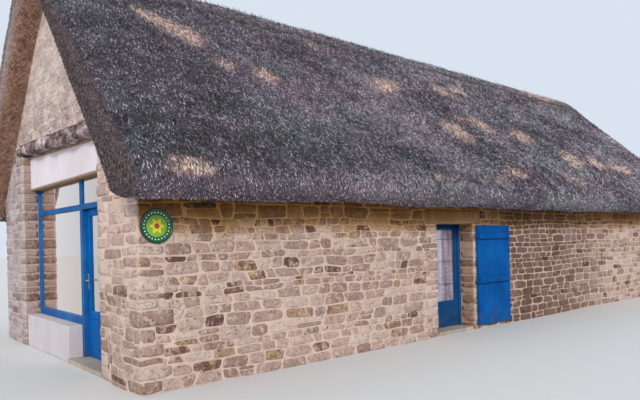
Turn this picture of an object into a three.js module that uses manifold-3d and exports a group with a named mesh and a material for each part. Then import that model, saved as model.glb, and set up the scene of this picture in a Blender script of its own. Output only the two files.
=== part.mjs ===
// A thatched stone cottage, built in millimetres with +Z up.
// Inside the building group the origin is the ground under the glazed gable's front corner:
// +X runs along the building, +Y from the front wall to the rear wall.
import * as THREE from "three";
import { mergeVertices } from "three/addons/utils/BufferGeometryUtils.js";
import Module from "manifold-3d";

const wasm = await Module();
wasm.setup();

// Main sizes
const LENGTH = 16400;
const WIDTH = 5600;
const HALF = WIDTH / 2;
const WALL = 500;
const WALL_TOP = 2400;
const PITCH = 1.1;
const GAP = 0.3;

// Ridge, verge and hip
const VERGE_X = -360;
const RIDGE_END_X = 14700;
const HIP_RUN = (LENGTH - RIDGE_END_X) / HALF;
const KINK_D = 2100;
const KINK_Z = WALL_TOP + PITCH * KINK_D;
const APEX_Z = 5280;

// Doorway and window opening in the gable
const GABLE_FRONT_JAMB = 1109;
const GABLE_REAR_JAMB = 4453;
const MULLION_REAR = 2436;
const GABLE_FRAME_X = 224;

// Doorway in the front wall
const DOOR_X0 = 4984;
const DOOR_X1 = 5980;
const DOOR_HEAD = 1820;

// Window in the rear wall
const REAR_WINDOW = { x0: 8200, x1: 9200, z0: 850, z1: 1820 };

const FLOOR_TOP = 60;

const COLOURS = {
  stone: [0xb39a86, 0.95, 0],
  limewash: [0xc6b9a6, 0.95, 0],
  lintel: [0xa8927c, 0.95, 0],
  weathered: [0x6f645c, 0.9, 0],
  render: [0xe2dcdc, 0.85, 0],
  floor: [0xa59a8c, 0.9, 0],
  thatch: [0x5f585c, 1, 0],
  ridge: [0x5a5650, 1, 0],
  timber: [0x7a5a3c, 0.85, 0],
  blue: [0x1f5fb0, 0.45, 0],
  glass: [0xbfd0d6, 0.08, 0],
  metal: [0xb9b9b4, 0.35, 1],
  iron: [0x2a2c30, 0.6, 1],
  lace: [0xe4e0ea, 0.95, 0],
  plaque: [0x3f8f3a, 0.4, 0],
};

const root = new THREE.Group();
root.name = "thatched_cottage";
const building = new THREE.Group();
building.name = "building";
root.add(building);

function addMesh(name, geometry, look) {
  const [color, roughness, metalness] = COLOURS[look];
  const material = new THREE.MeshStandardMaterial({ color, roughness, metalness });
  const mesh = new THREE.Mesh(geometry, material);
  mesh.name = name;
  building.add(mesh);
  return mesh;
}

function toSolid(geometry) {
  const copy = geometry.clone();
  copy.deleteAttribute("normal");
  copy.deleteAttribute("uv");
  const merged = mergeVertices(copy, 1e-3);
  return new wasm.Manifold(
    new wasm.Mesh({
      numProp: 3,
      vertProperties: new Float32Array(merged.attributes.position.array),
      triVerts: new Uint32Array(merged.index.array),
    }),
  );
}

function toGeometry(solid) {
  const made = solid.getMesh();
  const count = made.numVert;
  const positions = new Float32Array(count * 3);
  for (let i = 0; i < count; i++) {
    const at = i * made.numProp;
    positions.set(made.vertProperties.subarray(at, at + 3), i * 3);
  }
  const geometry = new THREE.BufferGeometry();
  geometry.setAttribute("position", new THREE.BufferAttribute(positions, 3));
  geometry.setIndex(new THREE.BufferAttribute(new Uint32Array(made.triVerts), 1));
  geometry.computeVertexNormals();
  return geometry;
}

function boxGeometry([x0, x1], [y0, y1], [z0, z1]) {
  const geometry = new THREE.BoxGeometry(x1 - x0, y1 - y0, z1 - z0);
  return geometry.translate((x0 + x1) / 2, (y0 + y1) / 2, (z0 + z1) / 2);
}

const boxSolid = (x, y, z) => toSolid(boxGeometry(x, y, z));

// A polygon given in the plane of the axes u and v, extruded along their cross product
function prismGeometry(points, u, v, from, to, at = [0, 0, 0]) {
  const shape = new THREE.Shape(points.map(([a, b]) => new THREE.Vector2(a, b)));
  const geometry = new THREE.ExtrudeGeometry(shape, { depth: to - from, bevelEnabled: false });
  geometry.translate(0, 0, from);
  const uAxis = new THREE.Vector3(...u).normalize();
  const vAxis = new THREE.Vector3(...v).normalize();
  const normal = new THREE.Vector3().crossVectors(uAxis, vAxis);
  const turn = new THREE.Matrix4().makeBasis(uAxis, vAxis, normal);
  return geometry.applyMatrix4(turn).translate(...at);
}

const alongX = (points, x0, x1) => prismGeometry(points, [0, 1, 0], [0, 0, 1], x0, x1);
const mirrored = (points) => points.map(([y, z]) => [WIDTH - y, z]).reverse();

// Closed loops with the same number of points, joined into one closed body
function loftGeometry(rings) {
  const size = rings[0].length;
  const positions = rings.flat(2);
  const faces = [];
  const key = (i) => {
    const at = i * 3;
    return positions.slice(at, at + 3).map((n) => n.toFixed(3)).join(" ");
  };
  const addFace = (a, b, c) => {
    const corners = new Set([key(a), key(b), key(c)]);
    if (corners.size === 3) faces.push(a, b, c);
  };
  for (let r = 0; r + 1 < rings.length; r++) {
    for (let i = 0; i < size; i++) {
      const j = (i + 1) % size;
      const [a, b] = [r * size + i, r * size + j];
      const [c, d] = [a + size, b + size];
      addFace(a, b, d);
      addFace(a, d, c);
    }
  }
  for (const r of [0, rings.length - 1]) {
    const ring = rings[r];
    const span = (k) => Math.max(...ring.map((p) => p[k])) - Math.min(...ring.map((p) => p[k]));
    const k = span(0) > span(1) ? 0 : 1;
    const contour = ring.map((p) => new THREE.Vector2(p[k], p[2]));
    for (const [a, b, c] of THREE.ShapeUtils.triangulateShape(contour, [])) {
      const corners = [a, b, c].map((n) => r * size + n);
      faces.push(...corners);
    }
  }
  const geometry = new THREE.BufferGeometry();
  geometry.setAttribute("position", new THREE.Float32BufferAttribute(positions, 3));
  geometry.setIndex(faces);
  return orient(geometry);
}

// Each face of a closed body wound so that neighbours agree and the body faces out
function orient(geometry) {
  const merged = mergeVertices(geometry, 1e-3);
  const index = Array.from(merged.index.array);
  const count = index.length / 3;
  const edges = new Map();
  const corners = (f) => [index[3 * f], index[3 * f + 1], index[3 * f + 2]];
  for (let f = 0; f < count; f++) {
    const c = corners(f);
    for (let e = 0; e < 3; e++) {
      const pair = [c[e], c[(e + 1) % 3]];
      const name = Math.min(...pair) + "_" + Math.max(...pair);
      if (!edges.has(name)) edges.set(name, []);
      edges.get(name).push(f);
    }
  }
  const runs = (f, a, b) => {
    const c = corners(f);
    return c[(c.indexOf(a) + 1) % 3] === b;
  };
  const done = new Set([0]);
  const queue = [0];
  while (queue.length) {
    const f = queue.pop();
    const c = corners(f);
    for (let e = 0; e < 3; e++) {
      const [a, b] = [c[e], c[(e + 1) % 3]];
      const name = Math.min(a, b) + "_" + Math.max(a, b);
      for (const g of edges.get(name)) {
        if (done.has(g)) continue;
        if (runs(g, a, b)) {
          [index[3 * g + 1], index[3 * g + 2]] = [index[3 * g + 2], index[3 * g + 1]];
        }
        done.add(g);
        queue.push(g);
      }
    }
  }
  const p = merged.attributes.position;
  const [A, B, C] = [new THREE.Vector3(), new THREE.Vector3(), new THREE.Vector3()];
  let volume = 0;
  for (let f = 0; f < count; f++) {
    const c = corners(f);
    A.fromBufferAttribute(p, c[0]);
    B.fromBufferAttribute(p, c[1]);
    C.fromBufferAttribute(p, c[2]);
    volume += A.dot(B.cross(C));
  }
  if (volume < 0) {
    for (let f = 0; f < count; f++) {
      [index[3 * f + 1], index[3 * f + 2]] = [index[3 * f + 2], index[3 * f + 1]];
    }
  }
  merged.setIndex(index);
  merged.computeVertexNormals();
  return merged;
}

// Gable wall, one plain slab on each side of the opening and one above it
const GABLE_TOP_FRONT = 3130;
const GABLE_TOP_REAR = 3265;
const roofY = (z) => (z - WALL_TOP) / PITCH;
const BEAM = { y: [1000, 4620], low: [2936, 3066] };
const beamRise = (BEAM.low[1] - BEAM.low[0]) / (BEAM.y[1] - BEAM.y[0]);
const beamUnderside = (y) => BEAM.low[0] + (y - BEAM.y[0]) * beamRise;
addMesh(
  "gable_wall_front",
  alongX(
    [
      [0, 0],
      [GABLE_FRONT_JAMB, 0],
      [GABLE_FRONT_JAMB, BEAM.low[0] - GAP],
      [1000, BEAM.low[0] - GAP],
      [1000, GABLE_TOP_FRONT],
      [roofY(GABLE_TOP_FRONT), GABLE_TOP_FRONT - GAP],
      [0, WALL_TOP - GAP],
    ],
    0,
    WALL,
  ),
  "stone",
);
addMesh(
  "gable_wall_rear",
  alongX(
    [
      [GABLE_REAR_JAMB, 0],
      [WIDTH, 0],
      [WIDTH, WALL_TOP - GAP],
      [WIDTH - roofY(GABLE_TOP_REAR), GABLE_TOP_REAR - GAP],
      [4620, GABLE_TOP_REAR],
      [4620, beamUnderside(4620) - 2 * GAP],
      [GABLE_REAR_JAMB, beamUnderside(GABLE_REAR_JAMB) - 2 * GAP],
    ],
    0,
    WALL,
  ),
  "stone",
);
addMesh(
  "gable_wall_top",
  alongX(
    [
      [roofY(GABLE_TOP_FRONT) + 1, GABLE_TOP_FRONT + GAP],
      [1000, GABLE_TOP_FRONT + GAP],
      [4620, GABLE_TOP_REAR + GAP],
      [WIDTH - roofY(GABLE_TOP_REAR) - 1, GABLE_TOP_REAR + GAP],
      [WIDTH - KINK_D, KINK_Z - GAP],
      [HALF, APEX_Z - GAP],
      [KINK_D, KINK_Z - GAP],
    ],
    0,
    WALL,
  ),
  "limewash",
);

// Rough beam over the opening, and the rendered lintel under it
addMesh(
  "gable_beam",
  alongX(
    [
      [1000 + GAP, BEAM.low[0]],
      [4620 - GAP, BEAM.low[1]],
      [4620 - GAP, GABLE_TOP_REAR],
      [1000 + GAP, GABLE_TOP_FRONT],
    ],
    -45,
    WALL,
  ),
  "weathered",
);
addMesh(
  "gable_lintel_panel",
  alongX(
    [
      [GABLE_FRONT_JAMB + GAP, 2540],
      [GABLE_REAR_JAMB - GAP, 2540],
      [GABLE_REAR_JAMB - GAP, beamUnderside(GABLE_REAR_JAMB) - 2 * GAP],
      [GABLE_FRONT_JAMB + GAP, beamUnderside(GABLE_FRONT_JAMB) - 2 * GAP],
    ],
    120,
    WALL,
  ),
  "render",
);
addMesh(
  "gable_low_wall",
  boxGeometry([30, WALL], [MULLION_REAR + GAP, GABLE_REAR_JAMB - GAP], [0, 500]),
  "render",
);

// Front wall, split beside and over its doorway
const LINTEL = { x0: 4740, x1: 6212, z1: 2050 };
const lintelSlot = boxSolid(
  [LINTEL.x0 - GAP, LINTEL.x1 + GAP],
  [-10, WALL + 10],
  [DOOR_HEAD - GAP, LINTEL.z1 + GAP],
);
const frontLeft = boxSolid([WALL + GAP, DOOR_X0], [0, WALL], [0, WALL_TOP - GAP]);
const frontRight = boxSolid([DOOR_X1, LENGTH - WALL - GAP], [0, WALL], [0, WALL_TOP - GAP]);
addMesh("front_wall_left", toGeometry(frontLeft.subtract(lintelSlot)), "stone");
addMesh("front_wall_right", toGeometry(frontRight.subtract(lintelSlot)), "stone");
addMesh(
  "front_wall_over_door",
  boxGeometry([DOOR_X0 + GAP, DOOR_X1 - GAP], [0, WALL], [LINTEL.z1 + GAP, WALL_TOP - GAP]),
  "stone",
);
addMesh(
  "front_door_lintel",
  boxGeometry([LINTEL.x0, LINTEL.x1], [-8, WALL], [DOOR_HEAD, LINTEL.z1]),
  "lintel",
);

// Rear wall with its window, and the wall under the hip
const rearOpening = boxSolid(
  [REAR_WINDOW.x0, REAR_WINDOW.x1],
  [WIDTH - WALL - 10, WIDTH + 10],
  [REAR_WINDOW.z0, REAR_WINDOW.z1],
);
const rearLintelSlot = boxSolid(
  [REAR_WINDOW.x0 - 220 - GAP, REAR_WINDOW.x1 + 220 + GAP],
  [WIDTH - WALL - 10, WIDTH + 10],
  [REAR_WINDOW.z1 - 1, REAR_WINDOW.z1 + 230 + GAP],
);
const rearWall = boxSolid(
  [WALL + GAP, LENGTH - WALL - GAP],
  [WIDTH - WALL, WIDTH],
  [0, WALL_TOP - GAP],
);
addMesh("rear_wall", toGeometry(rearWall.subtract(rearOpening).subtract(rearLintelSlot)), "stone");
addMesh(
  "rear_window_lintel",
  boxGeometry(
    [REAR_WINDOW.x0 - 220, REAR_WINDOW.x1 + 220],
    [WIDTH - WALL, WIDTH + 8],
    [REAR_WINDOW.z1, REAR_WINDOW.z1 + 230],
  ),
  "lintel",
);
addMesh("end_wall", boxGeometry([LENGTH - WALL, LENGTH], [0, WIDTH], [0, WALL_TOP - GAP]), "stone");

// Floor, with a tongue in each doorway
const room = boxSolid(
  [WALL + GAP, LENGTH - WALL - GAP],
  [WALL + GAP, WIDTH - WALL - GAP],
  [0, FLOOR_TOP],
);
const gableSill = boxSolid(
  [20, WALL + 10],
  [GABLE_FRONT_JAMB + GAP, MULLION_REAR - GAP],
  [0, FLOOR_TOP],
);
const frontSill = boxSolid([DOOR_X0 + GAP, DOOR_X1 - GAP], [20, WALL + 10], [0, FLOOR_TOP]);
addMesh("floor", toGeometry(room.add(gableSill).add(frontSill)), "floor");

// Thatch: one profile from the eave's inner edge up the underside, over the ridge and down to the lip.
// d is the inset from the wall face, and k rounds the plan at the hip's corners.
const UNDERSIDE = [
  { d: -250, z: WALL_TOP - 0.25 * PITCH * 1000, k: 0 },
  { d: KINK_D, z: KINK_Z, k: 0 },
  { d: HALF, z: APEX_Z, k: 0 },
];
const OUTSIDE = [
  { d: HALF, z: 5560, k: 0 },
  { d: 2600, z: 5500, k: 0.8 },
  { d: 2350, z: 5320, k: 0.8 },
  { d: 1500, z: 4470, k: 0.8 },
  { d: 400, z: 3370, k: 0.6 },
  { d: -600, z: 2370, k: 0.38 },
  { d: -655, z: 2280, k: 0.34 },
  { d: -660, z: 2200, k: 0.33 },
  { d: -620, z: 2120, k: 0.3 },
  { d: -520, z: 2060, k: 0.25 },
  { d: -380, z: 2050, k: 0.15 },
];
const PROFILE = [...UNDERSIDE, ...OUTSIDE];
const ARC_STEPS = 8;

// A point on a rounded square of half side 1: leg 0 is the straight start, leg 1 the first corner's arc
function roundedSquare(k, leg, t) {
  if (leg === 0) return [0, -1];
  const angle = (Math.PI / 2) * t;
  return [1 - k + k * Math.sin(angle), -(1 - k) - k * Math.cos(angle)];
}

function hipPoint({ d, z, k }, leg, t, side) {
  const reach = HALF - d;
  const [x, y] = roundedSquare(k, leg, t);
  return [RIDGE_END_X + reach * HIP_RUN * x, HALF + side * -reach * y * -1, z];
}

const straightRing = (x, side) => PROFILE.map(({ d, z }) => [x, HALF + side * (HALF - d) * -1, z]);
const hipRing = (leg, t, side) => PROFILE.map((p) => hipPoint(p, leg, t, side));

function slopeRings(side) {
  const rings = [straightRing(VERGE_X, side), straightRing(RIDGE_END_X, side)];
  for (let i = 0; i <= ARC_STEPS / 2; i++) rings.push(hipRing(1, i / ARC_STEPS, side));
  return rings;
}

function endRings() {
  const rings = [];
  for (let i = ARC_STEPS / 2; i <= ARC_STEPS; i++) rings.push(hipRing(1, i / ARC_STEPS, 1));
  for (let i = ARC_STEPS; i >= ARC_STEPS / 2; i--) rings.push(hipRing(1, i / ARC_STEPS, -1));
  return rings;
}

addMesh("thatch_front", loftGeometry(slopeRings(1)), "thatch");
addMesh("thatch_rear", loftGeometry(slopeRings(-1)), "thatch");
addMesh("thatch_end", loftGeometry(endRings()), "thatch");

// Ridge capping
const ridgeHalf = [
  [2300, 5270 + GAP],
  [2350, 5320 + GAP],
  [2600, 5500 + GAP],
  [HALF, 5560 + GAP],
];
const ridgeTop = [
  [HALF, 5640],
  [2620, 5585],
  [2450, 5475],
  [2300, 5335],
];
const mirrorRidge = (points) => points.slice().reverse().map(([y, z]) => [WIDTH - y, z]);
addMesh(
  "thatch_ridge",
  alongX(
    [
      ...ridgeHalf,
      ...mirrorRidge(ridgeHalf).slice(1),
      ...mirrorRidge(ridgeTop).slice(0, -1),
      ...ridgeTop,
    ],
    VERGE_X,
    RIDGE_END_X + 60,
  ),
  "ridge",
);

// Ridge beam and purlins
addMesh(
  "ridge_beam",
  boxGeometry([WALL + GAP, RIDGE_END_X + 40], [HALF - 80, HALF + 80], [5000, 5200]),
  "timber",
);
const slope = new THREE.Vector2(1, PITCH).normalize();
const inward = new THREE.Vector2(PITCH, -1).normalize();
const PURLIN_Y = 1350;
const PURLIN_END = RIDGE_END_X + 600;
const purlinCorner = (along, deep) => [
  PURLIN_Y + along * slope.x + deep * inward.x,
  WALL_TOP + PITCH * PURLIN_Y + along * slope.y + deep * inward.y,
];
const purlin = [
  purlinCorner(-75, 160),
  purlinCorner(75, 160),
  purlinCorner(75, GAP),
  purlinCorner(-75, GAP),
];
addMesh("purlin_front", alongX(purlin, WALL + GAP, PURLIN_END), "timber");
addMesh("purlin_rear", alongX(mirrored(purlin), WALL + GAP, PURLIN_END), "timber");

// Trusses: a tie beam on the walls, a king post and two principal rafters
const principal = [
  [350, WALL_TOP + PITCH * 350 - 250],
  [550, WALL_TOP + 10],
  [HALF, 4960],
  [HALF, 5230],
];
const ridgeSlot = boxSolid(
  [-300, LENGTH],
  [HALF - 80 - GAP, HALF + 80 + GAP],
  [5000 - GAP, 5400],
);
[4500, 9600, RIDGE_END_X - 40].forEach((x, i) => {
  const tie = boxSolid([x - 90, x + 90], [200, WIDTH - 200], [WALL_TOP, WALL_TOP + 180]);
  const kingPost = boxSolid([x - 60, x + 60], [HALF - 70, HALF + 70], [WALL_TOP + 100, 5100]);
  const front = toSolid(alongX(principal, x - 60, x + 60));
  const rear = toSolid(alongX(mirrored(principal), x - 60, x + 60));
  const truss = tie.add(kingPost).add(front).add(rear).subtract(ridgeSlot);
  addMesh("truss_" + (i + 1), toGeometry(truss), "timber");
});

// Hip rafters, in the vertical planes of the hip's corners
const hipRafter = [
  [150, 5040],
  [150, 4830],
  [2310, WALL_TOP + GAP],
  [2480, WALL_TOP + GAP],
  [2480, 2630],
];
const HIP_STEP = Math.hypot(HIP_RUN, 1);
const hipProfile = hipRafter.map(([w, z]) => [w * HIP_STEP, z]);
for (const [name, side] of [
  ["hip_rafter_front", -1],
  ["hip_rafter_rear", 1],
]) {
  addMesh(
    name,
    prismGeometry(hipProfile, [HIP_RUN, side, 0], [0, 0, 1], -60, 60, [RIDGE_END_X, HALF, 0]),
    "timber",
  );
}

// Upright cylinder between two heights
function postSolid(radius, x, y, [z0, z1]) {
  const geometry = new THREE.CylinderGeometry(radius, radius, z1 - z0, 24).rotateX(Math.PI / 2);
  return toSolid(geometry.translate(x, y, (z0 + z1) / 2));
}

// Butt hinges: the fixed half is a knuckle with its pin, the moving half a sleeve round the pin
const KNUCKLE = 9;
const PIN_RADIUS = 4;
const fixedKnuckle = (x, y, z) =>
  postSolid(KNUCKLE, x, y, [z - 50, z - 1]).add(postSolid(PIN_RADIUS, x, y, [z - 50, z + 48]));
const movingKnuckle = (solid, x, y, z) =>
  solid
    .add(postSolid(KNUCKLE, x, y, [z, z + 50]))
    .subtract(postSolid(PIN_RADIUS + 0.5, x, y, [z - 1, z + 51]));

// Blue frame of the gable opening
const FRAME_X = [GABLE_FRAME_X, GABLE_FRAME_X + 106];
const FRAME_TOP = 2540 - GAP;
const HEAD_Z = 2515;
const TRANSOM_Z = [2100, 2165];
const FRONT_POST = [GABLE_FRONT_JAMB + GAP, 1190];
const MULLION = [2356, MULLION_REAR - GAP];
const REAR_POST = [4368, GABLE_REAR_JAMB - GAP];
const RAIL_Z = [500 + GAP, 610];
const LOW = FLOOR_TOP + GAP;
const gableFrame = [
  [FRONT_POST, [LOW, FRAME_TOP]],
  [MULLION, [LOW, FRAME_TOP]],
  [REAR_POST, [RAIL_Z[0], FRAME_TOP]],
  [[FRONT_POST[0], REAR_POST[1]], [HEAD_Z, FRAME_TOP]],
  [[FRONT_POST[0], REAR_POST[1]], TRANSOM_Z],
  [[MULLION[0] + 1, REAR_POST[1]], RAIL_Z],
]
  .map(([y, z]) => boxSolid(FRAME_X, y, z))
  .reduce((a, b) => a.add(b));
const GABLE_PIN = { x: 341, y: 1194, heights: [350, 1080, 1850] };
const gableFixed = GABLE_PIN.heights
  .map((z) =>
    fixedKnuckle(GABLE_PIN.x, GABLE_PIN.y, z).add(
      boxSolid([FRAME_X[1] - 1, GABLE_PIN.x - 4], [1150, 1190], [z - 50, z - 1]),
    ),
  )
  .reduce((a, b) => a.add(b), gableFrame);
addMesh("gable_frame", toGeometry(gableFixed), "blue");

// Fixed panes of the gable
function paneX(name, [x0, x1], [y0, y1], [z0, z1]) {
  const geometry = boxGeometry(
    [x0, x1],
    [y0 + GAP, y1 - GAP],
    [z0 + GAP, z1 - GAP],
  );
  return addMesh(name, geometry, "glass");
}
const PANE_X = [246, 254];
const windowY = [MULLION[1], REAR_POST[0]];
paneX("gable_window_glass", PANE_X, windowY, [RAIL_Z[1], TRANSOM_Z[0]]);
paneX("gable_window_top_light", PANE_X, windowY, [TRANSOM_Z[1], HEAD_Z]);
paneX("gable_door_top_light", PANE_X, [FRONT_POST[1], MULLION[0]], [TRANSOM_Z[1], HEAD_Z]);

// Gable door
const GABLE_LEAF = { x: [280, 325], y: [1198, 2348], z: [70, 2092] };
const gableLeafHole = { y: [1308, 2238], z: [690, 2012] };
let gableLeaf = boxSolid(GABLE_LEAF.x, GABLE_LEAF.y, GABLE_LEAF.z).subtract(
  boxSolid([200, 400], gableLeafHole.y, gableLeafHole.z),
);
for (const z of GABLE_PIN.heights) {
  const wing = boxSolid([GABLE_LEAF.x[1] - 1, GABLE_PIN.x - 4], [1200, 1240], [z, z + 50]);
  gableLeaf = movingKnuckle(gableLeaf.add(wing), GABLE_PIN.x, GABLE_PIN.y, z);
}
addMesh("gable_door_leaf", toGeometry(gableLeaf), "blue");
paneX("gable_door_glass", [299, 306], gableLeafHole.y, gableLeafHole.z);
const gableHandle = boxSolid([272, 280 - GAP], [2270, 2310], [990, 1210])
  .add(toSolid(new THREE.CylinderGeometry(9, 9, 45, 20).rotateZ(Math.PI / 2).translate(250, 2290, 1120)))
  .add(toSolid(new THREE.CylinderGeometry(9, 9, 120, 20).translate(236, 2239, 1120)));
addMesh("gable_door_handle", toGeometry(gableHandle), "metal");

// Front door
const FRONT_FRAME_Y = [270, 350];
const FRONT_POST_WIDTH = 45;
const FRONT_HEAD_BOTTOM = 1790;
const FRONT_PIN = { x: 5931, y: 361, heights: [350, 1450] };
const frontFrame = boxSolid(
  [DOOR_X0 + GAP, DOOR_X1 - GAP],
  FRONT_FRAME_Y,
  [LOW, DOOR_HEAD - GAP],
).subtract(
  boxSolid(
    [DOOR_X0 + FRONT_POST_WIDTH, DOOR_X1 - FRONT_POST_WIDTH],
    [100, WALL],
    [0, FRONT_HEAD_BOTTOM],
  ),
);
const frontFixed = FRONT_PIN.heights
  .map((z) =>
    fixedKnuckle(FRONT_PIN.x, FRONT_PIN.y, z).add(
      boxSolid([5935, 5960], [FRONT_FRAME_Y[1] - 1, FRONT_PIN.y - 4], [z - 50, z - 1]),
    ),
  )
  .reduce((a, b) => a.add(b), frontFrame);
addMesh("front_door_frame", toGeometry(frontFixed), "blue");
const FRONT_LEAF = { x: [5037, 5927], y: [305, 345], z: [70, 1782] };
const frontLeafHole = { x: [5092, 5872], z: [500, 1732] };
let frontLeaf = boxSolid(FRONT_LEAF.x, FRONT_LEAF.y, FRONT_LEAF.z).subtract(
  boxSolid(frontLeafHole.x, [100, WALL], frontLeafHole.z),
);
for (const z of FRONT_PIN.heights) {
  const wing = boxSolid([5885, 5925], [FRONT_LEAF.y[1] - 1, FRONT_PIN.y - 4], [z, z + 50]);
  frontLeaf = movingKnuckle(frontLeaf.add(wing), FRONT_PIN.x, FRONT_PIN.y, z);
}
addMesh("front_door_leaf", toGeometry(frontLeaf), "blue");
addMesh(
  "front_door_glass",
  boxGeometry(
    [frontLeafHole.x[0] + GAP, frontLeafHole.x[1] - GAP],
    [318, 325],
    [frontLeafHole.z[0] + GAP, frontLeafHole.z[1] - GAP],
  ),
  "glass",
);
addMesh(
  "front_door_curtain",
  boxGeometry([5080, 5880], [345 + GAP, 350], [440, 1765]),
  "lace",
);
const frontHandle = boxSolid([5046, 5082], [297, 305 - GAP], [860, 1080])
  .add(toSolid(new THREE.CylinderGeometry(9, 9, 45, 20).translate(5064, 275, 990)))
  .add(
    toSolid(new THREE.CylinderGeometry(9, 9, 110, 20).rotateZ(Math.PI / 2).translate(5110, 261, 990)),
  );
addMesh("front_door_handle", toGeometry(frontHandle), "metal");

// Shutter, folded back against the wall, with its two battens and strap hinges
const SHUTTER = { x: [6032, 7022], y: [-63, -27], z: [70, 1790] };
const PIN = { x: 6006, y: -45 };
const HINGE_Z = [841, 1607];
let shutter = boxSolid(SHUTTER.x, SHUTTER.y, SHUTTER.z);
for (const z of HINGE_Z) {
  shutter = shutter
    .add(boxSolid([6060, 6994], [-85, SHUTTER.y[0] + 1], [z - 50, z + 50]))
    .add(boxSolid([6050, 6640], [-91, SHUTTER.y[0] + 1], [z - 20, z + 20]))
    .add(boxSolid([6012, 6040], [PIN.y - 7, PIN.y + 7], [z - 20, z + 20]))
    .add(postSolid(14, PIN.x, PIN.y, [z - 20, z + 20]))
    .subtract(postSolid(7.5, PIN.x, PIN.y, [z - 21, z + 21]));
}
addMesh("shutter", toGeometry(shutter), "blue");
HINGE_Z.forEach((z, i) => {
  const pin = postSolid(7, PIN.x, PIN.y, [z - 45, z + 45]);
  const shank = boxSolid([PIN.x - 7, PIN.x + 7], [PIN.y, -GAP], [z - 45, z - 31]);
  addMesh(["pintle_lower", "pintle_upper"][i], toGeometry(pin.add(shank)), "iron");
});

// Rear window
const rearFrameOuter = boxSolid(
  [REAR_WINDOW.x0 + GAP, REAR_WINDOW.x1 - GAP],
  [WIDTH - 290, WIDTH - 200],
  [REAR_WINDOW.z0 + GAP, REAR_WINDOW.z1 - GAP],
);
const rearLight = { x: [REAR_WINDOW.x0 + 70, REAR_WINDOW.x1 - 70], z: [920, 1750] };
addMesh(
  "rear_window_frame",
  toGeometry(rearFrameOuter.subtract(boxSolid(rearLight.x, [WIDTH - 400, WIDTH], rearLight.z))),
  "blue",
);
addMesh(
  "rear_window_glass",
  boxGeometry(
    [rearLight.x[0] + GAP, rearLight.x[1] - GAP],
    [WIDTH - 250, WIDTH - 242],
    [rearLight.z[0] + GAP, rearLight.z[1] - GAP],
  ),
  "glass",
);

// Round plaque on the front wall
const plaque = new THREE.CylinderGeometry(188, 188, 30 - GAP, 64).translate(213, -15 - GAP / 2, 1790);
addMesh("wall_plaque", plaque, "plaque");

// The middle of the whole part's bounding box at ground level becomes the origin
const bounds = new THREE.Box3().setFromObject(building);
building.position.set(-(bounds.min.x + bounds.max.x) / 2, -(bounds.min.y + bounds.max.y) / 2, 0);

export default root;
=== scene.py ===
import math
import random

import bmesh
import bpy
from mathutils import Matrix, Vector, noise


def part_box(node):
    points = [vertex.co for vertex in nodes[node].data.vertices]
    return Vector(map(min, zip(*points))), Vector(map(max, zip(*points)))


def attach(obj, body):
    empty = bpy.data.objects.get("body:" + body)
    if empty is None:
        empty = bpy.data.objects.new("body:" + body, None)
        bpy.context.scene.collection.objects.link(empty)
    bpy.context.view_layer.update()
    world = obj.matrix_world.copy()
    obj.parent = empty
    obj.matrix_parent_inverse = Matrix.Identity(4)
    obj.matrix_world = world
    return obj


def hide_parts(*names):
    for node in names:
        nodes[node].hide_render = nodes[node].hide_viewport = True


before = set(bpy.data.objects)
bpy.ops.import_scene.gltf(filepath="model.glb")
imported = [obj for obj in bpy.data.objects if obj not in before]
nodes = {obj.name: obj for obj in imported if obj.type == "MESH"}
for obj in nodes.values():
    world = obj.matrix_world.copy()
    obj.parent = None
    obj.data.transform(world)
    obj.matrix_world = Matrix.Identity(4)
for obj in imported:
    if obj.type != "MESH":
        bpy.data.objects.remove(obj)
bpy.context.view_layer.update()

# Camera, floor and light
# The view is the photograph's: eye height, just left of the glazed gable, with the horizon a little tilted.
# Everything below is measured from the building's near corner at the ground. Angles are in radians.
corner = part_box("gable_wall_front")[0]
EYE = corner + Vector((-2.5242, -5.8777, 1.6))
HEADING = 0.8613
LEAN = 0.0233
PHOTO_WIDTH = 640
FOCAL_PIXELS = 582.57
HORIZON_PIXELS = 40.03
SENSOR_WIDTH = 36
SUN_TRAVEL = Vector((0.66, 0.76, -0.43))
SKY_COLOR = (0.80, 0.88, 1.0, 1)
FLOOR_REACH = 90
FLOOR_DROP = 0.002

forward = Vector((math.cos(HEADING), math.sin(HEADING), 0))
level_right = Vector((math.sin(HEADING), -math.cos(HEADING), 0))
upright = Vector((0, 0, 1))
leaning_right = level_right * math.cos(LEAN) - upright * math.sin(LEAN)
leaning_up = upright * math.cos(LEAN) + level_right * math.sin(LEAN)
camera = bpy.data.objects.new("camera", bpy.data.cameras.new("camera"))
bpy.context.scene.collection.objects.link(camera)
camera.matrix_world = (
    Matrix.Translation(EYE) @ Matrix((leaning_right, leaning_up, -forward)).transposed().to_4x4()
)
camera.data.sensor_width = SENSOR_WIDTH
camera.data.lens = SENSOR_WIDTH * FOCAL_PIXELS / PHOTO_WIDTH
camera.data.shift_y = HORIZON_PIXELS / PHOTO_WIDTH
camera.data.clip_end = 200
bpy.context.scene.camera = camera

sun = bpy.data.objects.new("sun", bpy.data.lights.new("sun", "SUN"))
bpy.context.scene.collection.objects.link(sun)
sun.data.energy = 2.4
sun.data.angle = 0.22
sun.data.color = (1.0, 0.96, 0.90)
sun.rotation_euler = SUN_TRAVEL.to_track_quat("-Z", "Y").to_euler()

world = bpy.data.worlds.new("studio")
bpy.context.scene.world = world
world.use_nodes = True
sky = world.node_tree.nodes["Background"]
sky.inputs["Color"].default_value = SKY_COLOR
sky.inputs["Strength"].default_value = 0.88
bpy.context.scene.view_settings.view_transform = "Standard"


def srgb(red, green, blue, alpha=1.0):
    """A colour given from 0 to 255, as the linear values that a shader takes."""
    linear = [
        (c / 255 / 12.92) if c / 255 <= 0.04045 else ((c / 255 + 0.055) / 1.055) ** 2.4
        for c in (red, green, blue)
    ]
    return (*linear, alpha)


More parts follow.
